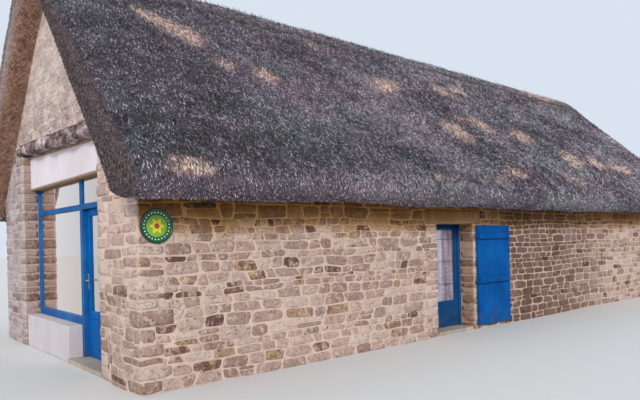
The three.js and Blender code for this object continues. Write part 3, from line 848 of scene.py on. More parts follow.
# Rendered lintel panel and low wall
# Smooth cream render over masonry, trowelled by hand, so that it is a little wavy, with softened arrises,
# faint stains, and splashes of soil along the foot.
render_coat, wire = new_finish("cream_render")
where = wire.place()
stain = where.stretched(1, 1, 0.7).cloud(2.0, 5.0, 0.55)
render_color = stain.ramp(
    (0.28, srgb(207, 196, 200)),
    (0.50, srgb(216, 206, 211)),
    (0.75, srgb(224, 215, 221)),
)
low_down = 1 - where.part("Z").band(0.5, 0.9)
render_color = (low_down * 0.85).blended(render_color, srgb(226, 228, 228), "MULTIPLY")
splash = (1 - where.part("Z").band(0.0, 0.35)) * where.cloud(9.0, 4.0, 0.6).band(0.4, 0.7)
close_finish(
    render_coat,
    (splash * 0.45).blended(render_color, srgb(176, 164, 150)),
    0.85,
    where.cloud(90.0, 3.0, 0.6) * 0.4 + where.cloud(9.0, 2.0, 0.5),
    0.003,
)


def soften(name, made_name, material, bevel, waviness=0.0, body="cottage"):
    """A piece in the shape of a CAD node, a little wavy, with rounded arrises that are marked as rubbed with
    a painted highlight, and upward faces marked for painted light.
    """
    source = nodes[name].data
    bm = bmesh.new()
    bm.from_mesh(source)
    bmesh.ops.remove_doubles(bm, verts=bm.verts, dist=1e-5)
    bmesh.ops.dissolve_limit(bm, angle_limit=0.01, verts=bm.verts, edges=bm.edges)
    sharp = [e for e in bm.edges if len(e.link_faces) == 2 and e.calc_face_angle(0) > 0.6]
    rounding = {"segments": 2, "profile": 0.5, "affect": "EDGES", "clamp_overlap": True}
    bmesh.ops.bevel(bm, geom=sharp, offset=bevel, **rounding)
    bmesh.ops.triangulate(bm, faces=bm.faces)
    if waviness:
        long_edges = [e for e in bm.edges if e.calc_length() > 0.3]
        bmesh.ops.subdivide_edges(bm, edges=long_edges, cuts=4)
        bmesh.ops.triangulate(bm, faces=bm.faces)
        for v in bm.verts:
            v.co += noise.noise_vector(v.co * 2.2) * waviness
    bm.normal_update()
    rubbed = bm.loops.layers.float.new("rubbed")
    # Upward faces are marked fully for painted light, arrises for rubbed paint with a painted highlight
    for face in bm.faces:
        on_arris = max(abs(part) for part in face.normal) < 0.97
        for loop in face.loops:
            loop[rubbed] = 1.0 if face.normal.z > 0.6 else 0.8 if on_arris else 0.0
    piece = finish_mesh(bm, made_name, material, body, smooth=False)
    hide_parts(name)


soften("gable_lintel_panel", "rendered_lintel", render_coat, 0.010, 0.003)
soften("gable_low_wall", "rendered_low_wall", render_coat, 0.014, 0.003)

# Thatch
# Bundles of water reed laid butts down and dressed to a dense brush, about 0.4 m thick, weathered charcoal
# with worn tan places. The skin is one sweep of the roof's profile along the front, round the hip and back.
HALF = WALL_WIDTH / 2
RIDGE_END = 14.7
VERGE = -0.36
HIP_RUN = (WALL_LENGTH - RIDGE_END) / HALF

# The profile: in from the wall's face, up, and how round the hip's corner is there
UNDERSIDE = [(2.8, 5.28, 0.0), (2.1, 4.71, 0.0), (-0.25, 2.125, 0.0)]
OUTSIDE = [
    (2.8, 5.56, 0.0),
    (2.6, 5.50, 0.8),
    (2.35, 5.32, 0.8),
    (1.5, 4.47, 0.8),
    (0.4, 3.37, 0.6),
    (-0.6, 2.37, 0.38),
    (-0.645, 2.30, 0.34),
    (-0.655, 2.22, 0.34),
    (-0.625, 2.14, 0.3),
    (-0.52, 2.07, 0.25),
    (-0.38, 2.06, 0.15),
    (-0.25, 2.125, 0.0),
]
REED_STEP = 0.14
VERGE_ROUNDING = [(0.0, 0.075), (0.015, 0.040), (0.045, 0.015), (0.09, 0.0)]
ZONES = {"under": 0, "near": 1, "front": 2, "rear": 3, "hip": 4, "verge": 5, "soffit": 6, "ridge": 7}
NEAR_LENGTH = 5.4
LEAD_STEPS = 14
ARC_STEPS = 8
TAIL_STEPS = 16

# Worn places on the front slope: along and in from the corner, reach both ways, strength and lean
WORN_PLACES = [
    (0.97, 1.83, 0.13, 0.10, 1.0, 0.0),
    (1.22, 1.70, 0.17, 0.15, 1.15, -0.2),
    (1.50, 1.58, 0.18, 0.16, 1.25, 0.0),
    (1.80, 1.11, 0.18, 0.10, 0.62, 0.0),
    (2.44, 1.04, 0.17, 0.12, 1.1, 0.0),
    (4.30, 2.10, 0.15, 0.09, 0.5, 0.0),
    (5.42, 1.44, 0.42, 0.13, 1.15, 0.27),
    (6.90, 0.95, 0.24, 0.12, 0.30, 0.0),
    (7.40, 1.66, 0.30, 0.12, 1.0, 0.0),
    (8.20, 1.85, 0.26, 0.11, 0.85, 0.0),
    (6.36, 0.54, 0.34, 0.20, 1.0, 0.0),
    (7.60, 0.86, 0.32, 0.13, 1.0, 0.0),
    (8.90, 0.72, 0.34, 0.16, 0.95, 0.0),
    (13.0, 2.42, 0.75, 0.15, 1.0, 0.0),
    (10.2, 0.26, 0.32, 0.16, 1.3, 0.15),
    (11.4, 0.28, 0.30, 0.15, 1.2, 0.1),
    (12.7, 0.22, 0.55, 0.11, 1.0, 0.0),
    (9.20, -0.30, 0.40, 0.12, 0.45, 0.0),
    (7.00, -0.25, 0.34, 0.13, 0.45, 0.0),
    (0.37, -0.575, 0.16, 0.06, 1.0, 0.0),
    (0.26, -0.63, 0.24, 0.10, 0.42, 0.0),
    (4.60, -0.50, 0.35, 0.08, 0.35, 0.0),
    (6.10, -0.45, 0.35, 0.08, 0.35, 0.0),
]


def resample(points, step):
    """Points along a polyline, closer than step, keeping its own corners."""
    out = []
    for a, b in zip(points, points[1:]):
        count = max(1, math.ceil(math.hypot(b[0] - a[0], b[1] - a[1]) / step))
        for i in range(count):
            t = i / count
            out.append(tuple(p + (q - p) * t for p, q in zip(a, b)))
    out.append(points[-1])
    return out


def spread(points, count):
    """A number of points evenly along a polyline."""
    lengths = [0.0]
    for a, b in zip(points, points[1:]):
        lengths.append(lengths[-1] + math.hypot(b[0] - a[0], b[1] - a[1]))
    out = []
    for i in range(count):
        at = lengths[-1] * i / (count - 1)
        k = min(max(n for n, l in enumerate(lengths) if l <= at + 1e-9), len(points) - 2)
        t = (at - lengths[k]) / (lengths[k + 1] - lengths[k])
        out.append(tuple(p + (q - p) * t for p, q in zip(points[k], points[k + 1])))
    return out


outer = resample(OUTSIDE, REED_STEP)
inner = spread(UNDERSIDE, len(outer))
ROWS = len(outer)


def drawn_in(m, inset):
    """The profile's m-th outer and inner points, each moved towards the other by up to inset."""
    a, b = outer[m], inner[m]
    thick = math.hypot(a[0] - b[0], a[1] - b[1])
    t = min(inset / max(thick, 1e-6), 0.35) if thick > 1e-6 else 0
    return (
        tuple(p + (q - p) * t for p, q in zip(a, b)),
        tuple(q + (p - q) * t for p, q in zip(a, b)),
    )


def swept(point, station):
    """A profile point at a station: x along a straight slope, or t round the hip, on side 1 or -1.

    t goes from -1 to 0 at the start of the hip, to 1 round its corner, and to 2 at the middle of the end.
    """
    d, z, k = point
    x, t, side = station
    reach = HALF - d
    if t is None:
        return corner + Vector((x, HALF - side * reach, z))
    if t < 0:
        start = swept(point, (RIDGE_END, None, side))
        end = swept(point, (None, 0.0, side))
        return start + (end - start) * (t + 1)
    if t > 1:
        px, py = 1.0, -(1 - k) + (t - 1) * (1 - k)
    else:
        angle = math.pi / 2 * t
        px, py = 1 - k + k * math.sin(angle), -(1 - k) - k * math.cos(angle)
    return corner + Vector((RIDGE_END + reach * HIP_RUN * px, HALF + side * reach * py, z))


half_stations = [((VERGE + offset, None, 1), inset) for offset, inset in VERGE_ROUNDING]
straight_from = VERGE + 0.16
straight_count = math.ceil((RIDGE_END - straight_from) / REED_STEP)
for i in range(straight_count + 1):
    half_stations.append(((straight_from + (RIDGE_END - straight_from) * i / straight_count, None, 1), 0))
half_stations += [((None, -1 + i / LEAD_STEPS, 1), 0) for i in range(1, LEAD_STEPS + 1)]
half_stations += [((None, i / ARC_STEPS, 1), 0) for i in range(1, ARC_STEPS + 1)]
half_stations += [((None, 1 + i / TAIL_STEPS, 1), 0) for i in range(1, TAIL_STEPS + 1)]
stations = half_stations + [((x, t, -side), inset) for (x, t, side), inset in reversed(half_stations[:-1])]

run = [0.0]
probe = (0.6, 3.57, 0.42)
for (a, _), (b, _) in zip(stations, stations[1:]):
    run.append(run[-1] + (swept(probe, b) - swept(probe, a)).length)
drop = [0.0]
for a, b in zip(outer, outer[1:]):
    drop.append(drop[-1] + math.hypot(b[0] - a[0], b[1] - a[1]))


REAR_WORN_Z = 2.7
REAR_WORN_FROM = 0.43


def worn_at(point):
    """How worn the reed is at a place measured from the building's corner, 0 to 1."""
    if point.y < HALF:
        worn = 0.0
        for x, y, wide, high, strength, lean in WORN_PLACES:
            along = (point.x - x) / wide
            up = (point.y - y - lean * (point.x - x)) / high
            worn += strength * math.exp(-along * along - up * up)
        return min(1.0, worn)
    if point.z <= REAR_WORN_Z:
        return 0.0
    spot = noise.noise(Vector((point.x * 0.7, point.y * 1.6, 4.0)))
    return min(1.0, max(0.0, (spot - REAR_WORN_FROM) * 4.0))


skin = bmesh.new()
layers = skin.verts.layers
coat_layer = layers.float.new("coat")
worn_layer = layers.float.new("worn")
cap_layer = layers.float.new("cap")
flow_layer = layers.float_vector.new("flow")
zone_layer = skin.faces.layers.int.new("zone")
reed_uv = skin.loops.layers.uv.new("reed")


# How the reeds turn: down at the eave, outwards at the verge, and forwards on the verge's underside
EAVE_TURN_Z = 2.42
EAVE_TURN = Vector((0, 0, -1.6))
VERGE_TURN = Vector((-0.45, 0, 0))
SOFFIT_TURN = Vector((-0.9, 0, 0))
WORN_FROM_Z = 2.28


def skin_vert(place, station, is_outer):
    """A vertex of the skin, with the way that its reeds point and how worn and how exposed it is."""
    vert = skin.verts.new(place)
    x = station[0]
    down = (swept(outer[ROWS // 2 + 4], station) - swept(outer[ROWS // 2], station)).normalized()
    if is_outer and place.z < EAVE_TURN_Z:
        down += EAVE_TURN
    if x is not None and x < VERGE + 0.12:
        down += VERGE_TURN
    elif not is_outer and x is not None and x < 0.1:
        down += SOFFIT_TURN
    vert[flow_layer] = down.normalized()
    if x is not None and x < VERGE + 0.05:
        vert[cap_layer] = 1.0
    vert[coat_layer] = 1.0 if is_outer else 0.0
    vert[worn_layer] = worn_at(place - corner) if is_outer and place.z > WORN_FROM_Z else 0.0
    return vert


outer_rows = []
inner_rows = []
for station, inset in stations:
    outer_row = []
    inner_row = []
    for m in range(ROWS):
        a, b = drawn_in(m, inset)
        outer_row.append(skin_vert(swept(a, station), station, True))
        inner_row.append(skin_vert(swept(b, station), station, False))
    outer_rows.append(outer_row)
    inner_rows.append(inner_row)


def skin_face(verts, zone, uvs):
    """A face of the skin in a zone, with its place along and down the reed."""
    face = skin.faces.new(verts)
    face.smooth = True
    face[zone_layer] = ZONES[zone]
    for loop, uv in zip(face.loops, uvs):
        loop[reed_uv].uv = uv


for n in range(len(stations) - 1):
    x, _, side = stations[n][0]
    next_x = stations[n + 1][0][0]
    if x is None or next_x is None:
        zone, soffit = "hip", "under"
    else:
        zone = "rear" if side < 0 else "near" if max(x, next_x) < NEAR_LENGTH else "front"
        soffit = "soffit" if max(x, next_x) < 0.03 else "under"
        if max(x, next_x) < VERGE + 0.10:
            zone = "verge"
    for m in range(ROWS - 1):
        a, b = (run[n], drop[m]), (run[n + 1], drop[m])
        c, d = (run[n + 1], drop[m + 1]), (run[n], drop[m + 1])
        o, q = outer_rows[n], outer_rows[n + 1]
        skin_face((o[m], q[m], q[m + 1], o[m + 1]), zone, (a, b, c, d))
        o, q = inner_rows[n], inner_rows[n + 1]
        skin_face((q[m], o[m], o[m + 1], q[m + 1]), soffit, (b, a, d, c))

CAP_STEPS = 5
CAP_STEP = 0.08
for n in (0, len(stations) - 1):
    station = stations[n][0]
    columns = [outer_rows[n]]
    for j in range(1, CAP_STEPS):
        column = []
        for m in range(ROWS):
            a, b = outer_rows[n][m].co, inner_rows[n][m].co
            vert = skin_vert(a + (b - a) * j / CAP_STEPS, station, True)
            vert[worn_layer] = 0.0
            column.append(vert)
        columns.append(column)
    columns.append(inner_rows[n])
    for j in range(CAP_STEPS):
        for m in range(ROWS - 1):
            u, w = columns[j], columns[j + 1]
            near, far = CAP_STEP * j, CAP_STEP * j + CAP_STEP
            uvs = [(near, drop[m]), (near, drop[m + 1]), (far, drop[m + 1]), (far, drop[m])]
            skin_face((u[m], u[m + 1], w[m + 1], w[m]), "verge", uvs)
bmesh.ops.remove_doubles(skin, verts=skin.verts, dist=2e-5)
bmesh.ops.dissolve_degenerate(skin, edges=skin.edges, dist=1e-5)
bmesh.ops.recalc_face_normals(skin, faces=skin.faces)
skin.normal_update()


def tousle(point, is_outer):
    """How far the reed stands out or sinks at a place."""
    broad = noise.noise(point * 0.8) * 0.026
    middling = noise.noise(point * 2.7 + Vector((9, 0, 0))) * 0.016
    return (broad + middling - 0.004) * (1.0 if is_outer else 0.4)


moves = [v.normal * tousle(v.co - corner, v[coat_layer] > 0.5) for v in skin.verts]
for v, move in zip(skin.verts, moves):
    v.co += move


def worn_reed(wire, where, charcoal, bare_color):
    """Charcoal reed with a brownish fringe and streaks of bare tan where the worn attribute is high."""
    worn = wire.painted("worn")
    down_slope = {"X": where.part("X") * 30, "Y": (where.part("Y") + where.part("Z")) * 7}
    streaks = wire.node("ShaderNodeCombineXYZ", None, down_slope).cloud(1.0, 5.0, 0.75)
    ragged = (streaks - 0.5) * 6.5 + (where.cloud(8.0, 3.0, 0.6) - 0.5) * 5.0
    fringed = ((worn + ragged * 0.1).band(0.03, 0.36) * 0.50).blended(charcoal, srgb(138, 112, 108))
    bare = (worn * 1.2 + ragged * worn.band(0.02, 0.35)).clipped().band(0.30, 0.85)
    return (bare * 0.92).blended(fringed, bare_color)


def weather_tint(where, color):
    """Broad lilac and slate clouds over a reed colour."""
    cloudy = where.stretched(0.7, 1, 1).cloud(1.3, 4.0, 0.65)
    tint = cloudy.ramp(
        (0.36, srgb(226, 240, 236)),
        (0.50, srgb(246, 245, 249)),
        (0.64, srgb(252, 236, 246)),
    )
    mixing = {"data_type": "RGBA", "blend_type": "MULTIPLY"}
    return where.node("ShaderNodeMix", mixing, {0: 1.0, 6: color, 7: tint}, 2)


def painted_sheen(where):
    """How much paler the reed is painted further along the roof, as a sheen of the sky at a slant, and at the
    eave's lip, as light on its curve; as a change of tone.
    """
    further = where.part("X").band(corner.x + 0.8, corner.x + 4.8)
    lip = 1 - where.part("Z").band(2.20, 2.55)
    return further * 0.040 + lip * 0.085


reed_bed, wire = new_finish("reed_bed")
where = wire.place()
along = wire.node("ShaderNodeUVMap", {"uv_map": "reed"})
coat = wire.painted("coat")
strands = along.stretched(130, 16, 1).cloud(1.0, 5.0, 0.7)
u, v = along.part("X"), along.part("Y")
slanted = wire.node("ShaderNodeCombineXYZ", None, {"X": (u + v * 0.75) * 75, "Y": (v - u * 0.75) * 5})
slanted = slanted.cloud(1.0, 5.0, 0.7)
spots = where.cloud(2.6, 4.0, 0.6)
broad = where.stretched(0.55, 1, 1).cloud(0.9, 3.0, 0.6)
outer_color = (strands * 0.7 + spots * 0.1 + broad * 0.2 + painted_sheen(where) * 0.3).ramp(
    (0.38, srgb(24, 22, 25)),
    (0.47, srgb(50, 47, 51)),
    (0.54, srgb(92, 87, 93)),
    (0.64, srgb(160, 153, 159)),
)
under_color = (slanted * 0.8 + spots * 0.2).ramp(
    (0.40, srgb(74, 50, 40)),
    (0.47, srgb(136, 100, 82)),
    (0.53, srgb(178, 140, 120)),
    (0.62, srgb(226, 192, 170)),
)
cap = wire.painted("cap")
outer_color = weather_tint(where, outer_color)
bare_strands = strands.ramp(
    (0.40, srgb(56, 42, 42)),
    (0.50, srgb(170, 138, 126)),
    (0.60, srgb(246, 224, 208)),
)
outer_color = worn_reed(wire, where, outer_color, bare_strands)
relief = strands * coat + slanted * (1 - coat)
bed_color = coat.blended(under_color, outer_color)
verge_front = strands.ramp(
    (0.36, srgb(34, 28, 31)),
    (0.50, srgb(74, 63, 66)),
    (0.64, srgb(128, 114, 116)),
)
verge_rear = strands.ramp(
    (0.36, srgb(112, 94, 90)),
    (0.50, srgb(152, 132, 128)),
    (0.64, srgb(186, 168, 164)),
)
rearward = where.part("Y") > corner.y + HALF
verge_color = rearward.blended(verge_front, verge_rear)
bed_color = cap.band(0.3, 0.7).blended(bed_color, verge_color)
close_finish(reed_bed, bed_color, 0.95, relief, 0.02)
skin_piece = finish_mesh(skin, "thatch_bed", reed_bed)
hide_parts("thatch_front", "thatch_rear", "thatch_end")

# Ridge
# A low cap of reed and turf packed along the ridge and dressed down on both sides.
RIDGE_TOP = [(0.50, 5.335), (0.35, 5.475), (0.18, 5.585), (0.0, 5.640)]
RIDGE_FOOT = [(0.50, 5.270), (0.45, 5.320), (0.20, 5.500), (0.0, 5.560)]
RIDGE_LENGTH = (VERGE, RIDGE_END + 0.06)
RIDGE_STEPS = 130
ridge_loop = [(HALF - y, z) for y, z in resample(RIDGE_TOP, 0.09)]
ridge_loop += [(HALF + y, z) for y, z in reversed(resample(RIDGE_TOP, 0.09)[:-1])]
ridge_under = [(HALF + y, z + 0.004) for y, z in RIDGE_FOOT]
ridge_under += [(HALF - y, z + 0.004) for y, z in reversed(RIDGE_FOOT[:-1])]
ridge = bmesh.new()
layers = ridge.verts.layers
ridge_coat = layers.float.new("coat")
ridge_worn = layers.float.new("worn")
ridge_flow = layers.float_vector.new("flow")
ridge_zone = ridge.faces.layers.int.new("zone")
ridge_rows = []
for i in range(RIDGE_STEPS + 1):
    x = RIDGE_LENGTH[0] + (RIDGE_LENGTH[1] - RIDGE_LENGTH[0]) * i / RIDGE_STEPS
    pinch = 0.82 if i in (0, RIDGE_STEPS) else 1.0
    row = []
    for y, z in ridge_loop:
        lump = noise.noise(Vector((x * 1.4, y * 2, z))) * 0.018
        lump += noise.noise(Vector((x * 5, y * 5, 3))) * 0.010
        vert = ridge.verts.new(corner + Vector((x, HALF + (y - HALF) * pinch, z + lump - 0.012)))
        vert[ridge_flow] = Vector((0.05, math.copysign(0.75, y - HALF), -0.65)).normalized()
        vert[ridge_coat] = 1.0
        vert[ridge_worn] = math.exp(-(((x - 13.0) / 0.8) ** 2)) * (y < HALF)
        row.append(vert)
    for y, z in ridge_under:
        vert = ridge.verts.new(corner + Vector((x, HALF + (y - HALF) * pinch, z - 0.03)))
        vert[ridge_flow] = Vector((0.05, 0, -1))
        vert[ridge_coat] = 1.0
        row.append(vert)
    ridge_rows.append(row)
top_count = len(ridge_loop)
for a, b in zip(ridge_rows, ridge_rows[1:]):
    for m in range(len(a)):
        k = (m + 1) % len(a)
        face = ridge.faces.new((a[m], a[k], b[k], b[m]))
        face[ridge_zone] = ZONES["ridge"] if k < top_count and m < top_count else 0
for row in (ridge_rows[0], ridge_rows[-1]):
    ridge.faces.new(row)
ridge_turf, wire = new_finish("ridge_turf")
where = wire.place()
clumps = where.cloud(12.0, 6.0, 0.7)
moss = where.cloud(1.1, 4.0, 0.6).band(0.45, 0.65)
turf_color = clumps.ramp(
    (0.34, srgb(38, 35, 37)),
    (0.52, srgb(82, 76, 79)),
    (0.70, srgb(128, 119, 120)),
)
moss_color = clumps.ramp((0.35, srgb(48, 46, 34)), (0.7, srgb(104, 100, 76)))
turf_color = (moss * 0.12).blended(turf_color, moss_color)
close_finish(ridge_turf, turf_color, 0.95, clumps, 0.02)
ridge_piece = finish_mesh(ridge, "ridge_cap", ridge_turf)
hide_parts("thatch_ridge")

# Reed ends
# The cut butts of the reeds stand a little out of the dressed slope and point down it. They give the roof its
# salt-and-pepper look: most are charcoal, some bleached grey, and tan where the old face has worn away.
REED_SINK = -0.12
REED_SEED = 40


def new_tree(name, given_names):
    """An empty tree with an input for the mesh and one for each name, and the function that fills it."""
    tree = bpy.data.node_groups.new(name, "GeometryNodeTree")
    face = tree.interface
    face.new_socket("Geometry", in_out="INPUT", socket_type="NodeSocketGeometry")
    for given_name, kind in given_names:
        face.new_socket(given_name, in_out="INPUT", socket_type=kind)
    face.new_socket("Geometry", in_out="OUTPUT", socket_type="NodeSocketGeometry")

    def add(kind, settings=None, inputs=None):
        made = tree.nodes.new(kind)
        for key, value in (settings or {}).items():
            setattr(made, key, value)
        for key, value in (inputs or {}).items():
            if isinstance(value, bpy.types.NodeSocket):
                tree.links.new(value, made.inputs[key])
            else:
                made.inputs[key].default_value = value
        return made

    return tree, add


def random_number(add, low, high, seed):
    """The socket of a random number for each element."""
    made = add("FunctionNodeRandomValue", {"data_type": "FLOAT"}, {2: low, 3: high, "Seed": seed})
    return made.outputs[1]


def vector_maths(add, operation, first, second):
    """The socket of two vectors' sum or difference, or of a vector that is scaled by a number."""
    second_key = "Scale" if operation == "SCALE" else 1
    made = add("ShaderNodeVectorMath", {"operation": operation}, {0: first, second_key: second})
    return made.outputs[0]


def reed_tree(material):
    """Scatters short tapered reeds over the faces of one zone, pointing along the flow attribute."""
    tree, add = new_tree(
        "reed_ends",
        (
            ("Zone", "NodeSocketInt"),
            ("Density", "NodeSocketFloat"),
            ("Reed length", "NodeSocketFloat"),
            ("Reed radius", "NodeSocketFloat"),
            ("Stand", "NodeSocketFloat"),
            ("Scatter", "NodeSocketFloat"),
            ("Seed", "NodeSocketInt"),
        ),
    )
    given = add("NodeGroupInput").outputs
    zone = add("GeometryNodeInputNamedAttribute", {"data_type": "INT"}, {"Name": "zone"})
    chosen = add(
        "FunctionNodeCompare",
        {"data_type": "INT", "operation": "EQUAL"},
        {2: zone.outputs["Attribute"], 3: given["Zone"]},
    )
    points = add(
        "GeometryNodeDistributePointsOnFaces",
        {"distribute_method": "RANDOM"},
        {
            "Mesh": given["Geometry"],
            "Selection": chosen.outputs[0],
            "Density": given["Density"],
            "Seed": given["Seed"],
        },
    )
    flow = add("GeometryNodeInputNamedAttribute", {"data_type": "FLOAT_VECTOR"}, {"Name": "flow"})
    stand = random_number(add, 0.15, 1.0, 1)
    height = add("ShaderNodeMath", {"operation": "MULTIPLY"}, {0: stand, 1: given["Stand"]})
    lift = vector_maths(add, "SCALE", points.outputs["Normal"], height.outputs[0])
    raised = add("GeometryNodeSetPosition", None, {"Geometry": points.outputs["Points"], "Offset": lift})
    jitter = add(
        "FunctionNodeRandomValue",
        {"data_type": "FLOAT_VECTOR"},
        {0: (-1.0, -1.0, -1.0), 1: (1.0, 1.0, 1.0), "Seed": 2},
    )
    swing = vector_maths(add, "SCALE", jitter.outputs[0], given["Scatter"])
    sink = vector_maths(add, "SCALE", points.outputs["Normal"], REED_SINK)
    back = vector_maths(add, "SUBTRACT", sink, flow.outputs["Attribute"])
    axis = vector_maths(add, "ADD", back, swing)
    turn = add("FunctionNodeAlignRotationToVector", {"axis": "Z"}, {"Vector": axis})
    reed = add(
        "GeometryNodeMeshCone",
        {"fill_type": "NGON"},
        {
            "Vertices": 3,
            "Side Segments": 1,
            "Radius Top": 0.0,
            "Radius Bottom": given["Reed radius"],
            "Depth": given["Reed length"],
        },
    )
    size = random_number(add, 0.55, 1.35, 3)
    placed = add(
        "GeometryNodeInstanceOnPoints",
        None,
        {
            "Points": raised.outputs[0],
            "Instance": reed.outputs["Mesh"],
            "Rotation": turn.outputs[0],
            "Scale": size,
        },
    )
    toned = add(
        "GeometryNodeStoreNamedAttribute",
        {"data_type": "FLOAT", "domain": "INSTANCE"},
        {"Geometry": placed.outputs[0], "Name": "tone", "Value": random_number(add, 0.0, 1.0, 4)},
    )
    real = add("GeometryNodeRealizeInstances", None, {0: toned.outputs[0]})
    for name in ("flow", "coat", "UVMap"):
        real = add("GeometryNodeRemoveAttribute", None, {0: real.outputs[0], "Name": name})
    dressed = add("GeometryNodeSetMaterial", None, {"Geometry": real.outputs[0], "Material": material})
    add("NodeGroupOutput", None, {0: dressed.outputs[0]})
    return tree


def grow(mesh, name, tree, values, body="cottage"):
    """Runs a tree over a mesh and keeps what it makes as a plain piece of its own."""
    grown = bpy.data.objects.new(name, mesh)
    bpy.context.scene.collection.objects.link(grown)
    modifier = grown.modifiers.new(name, "NODES")
    modifier.node_group = tree
    for item in tree.interface.items_tree:
        if item.in_out == "INPUT" and item.name in values:
            modifier[item.identifier] = values[item.name]
    settled = grown.evaluated_get(bpy.context.evaluated_depsgraph_get())
    plain = bpy.data.meshes.new_from_object(settled)
    grown.modifiers.remove(modifier)
    grown.data = plain
    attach(grown, body)


def grow_reeds(source, zone, tree, density, length, radius, stand, scatter):
    """Covers one zone of a piece with reeds, so many to the square metre."""
    values = {
        "Zone": ZONES[zone],
        "Density": float(density),
        "Reed length": length,
        "Reed radius": radius,
        "Stand": stand,
        "Scatter": scatter,
        "Seed": ZONES[zone] + REED_SEED,
    }
    grow(source.data.copy(), "reeds_" + zone, tree, values)


reed_ends, wire = new_finish("reed_ends")
where = wire.place()
tone = wire.painted("tone")
broad = where.stretched(0.55, 1, 1).cloud(0.9, 3.0, 0.6)
tufts = where.cloud(5.0, 3.0, 0.6)
pepper = where.cloud(24.0, 6.0, 0.85)
blend_tone = tone * 0.60 + 0.19 + (broad - 0.5) * 0.9 + (tufts - 0.5) * 1.1 + (pepper - 0.5) * 4.2
blend_tone = blend_tone + painted_sheen(where)
weathered_color = blend_tone.clipped().ramp(
    (0.06, srgb(12, 11, 14)),
    (0.28, srgb(42, 40, 46)),
    (0.48, srgb(92, 87, 97)),
    (0.66, srgb(147, 140, 154)),
    (0.84, srgb(197, 188, 201)),
    (1.00, srgb(230, 220, 220)),
)
tan_color = (tone * 1.1 + 0.02 + (pepper - 0.5) * 3.4).clipped().ramp(
    (0.00, srgb(48, 36, 38)),
    (0.30, srgb(160, 126, 116)),
    (0.58, srgb(244, 212, 194)),
    (1.00, srgb(255, 246, 236)),
)
close_finish(reed_ends, worn_reed(wire, where, weather_tint(where, weathered_color), tan_color), 0.9)
reeds = reed_tree(reed_ends)
for zone, density, length, radius, scatter in (
    ("near", 1540, 0.058, 0.0052, 0.42),
    ("front", 850, 0.066, 0.0072, 0.40),
    ("rear", 450, 0.086, 0.0088, 0.40),
    ("hip", 460, 0.086, 0.0092, 0.40),
):
    grow_reeds(skin_piece, zone, reeds, density, length, radius, 0.018, scatter)

verge_reed, wire = new_finish("verge_reed")
tone = wire.painted("tone")
where = wire.place()
mottled = (tone * 0.5 + 0.25 + (where.cloud(22.0, 6.0, 0.8) - 0.5) * 2.2).clipped()
verge_color = (where.part("Y") > corner.y + HALF).blended(
    mottled.ramp((0.15, srgb(28, 22, 24)), (0.5, srgb(84, 69, 70)), (0.85, srgb(160, 142, 142))),
    mottled.ramp((0.15, srgb(104, 84, 80)), (0.5, srgb(152, 132, 128)), (0.85, srgb(194, 178, 174))),
)
close_finish(verge_reed, verge_color, 0.95)
soffit_reed, wire = new_finish("soffit_reed")
soffit_color = wire.painted("tone").ramp(
    (0.00, srgb(70, 46, 36)),
    (0.45, srgb(150, 112, 92)),
    (1.00, srgb(232, 198, 174)),
)
close_finish(soffit_reed, soffit_color, 0.95)
grow_reeds(skin_piece, "verge", reed_tree(verge_reed), 2600, 0.052, 0.0052, 0.012, 0.42)
grow_reeds(skin_piece, "soffit", reed_tree(soffit_reed), 1500, 0.090, 0.0040, 0.008, 0.16)
grow_reeds(ridge_piece, "ridge", reeds, 520, 0.075, 0.0068, 0.012, 0.50)

# Fillets at the lintel panel
# A thin tan fillet nailed to the soffit in front of the window head, where the render stops, and another
# along the panel's top edge under the beam, which rises towards the rear pier.
FILLET_Y = (1.112, 4.450)
PANEL_SLOPE = 0.0359
sawn, wire = new_finish("tan_fillet")
where = wire.place()
grain = where.stretched(60, 3, 60).cloud(1.4, 5.0, 0.6)
close_finish(sawn, grain.ramp((0.3, srgb(112, 84, 62)), (0.7, srgb(176, 146, 112))), 0.8, grain, 0.003)


def board(bm, low, high, chamfer):
    """A board between two corners measured from the building's, with its arrises planed off."""
    made = bmesh.ops.create_cube(bm, size=1.0)
    size = Vector(high) - Vector(low)
    for v in made["verts"]:
        v.co = corner + Vector(low) + Vector([(v.co[i] + 0.5) * size[i] for i in range(3)])
    edges = list(dict.fromkeys(e for v in made["verts"] for e in v.link_edges))
    planing = {"segments": 2, "profile": 0.6, "affect": "EDGES", "clamp_overlap": True}
    bmesh.ops.bevel(bm, geom=edges, offset=chamfer, **planing)


fillet = bmesh.new()
board(fillet, (0.126, FILLET_Y[0], 2.516), (0.218, FILLET_Y[1], 2.5395), 0.003)
board(fillet, (0.098, FILLET_Y[0], 2.906), (0.1195, FILLET_Y[1], 2.944), 0.004)
for v in fillet.verts:
    if v.co.z > 2.8:
        v.co.z += (v.co.y - corner.y - FILLET_Y[0]) * PANEL_SLOPE
finish_mesh(fillet, "soffit_fillet", sawn, smooth=False)

# Roof timbers and floor
# Oak ridge beam, purlins and trusses gone grey-brown indoors, and a floor of worn stone flags.
oak, wire = new_finish("roof_oak")
where = wire.place()
grain = where.stretched(2.5, 26, 26).cloud(1.5, 6.0, 0.65)
oak_color = grain.ramp((0.30, srgb(70, 52, 38)), (0.52, srgb(118, 90, 64)), (0.75, srgb(150, 120, 88)))
close_finish(oak, oak_color, 0.8, grain, 0.006)
for name in ("ridge_beam", "purlin_front", "purlin_rear", "hip_rafter_front", "hip_rafter_rear"):
    wear(name, oak)
for name in ("truss_1", "truss_2", "truss_3"):
    wear(name, oak)

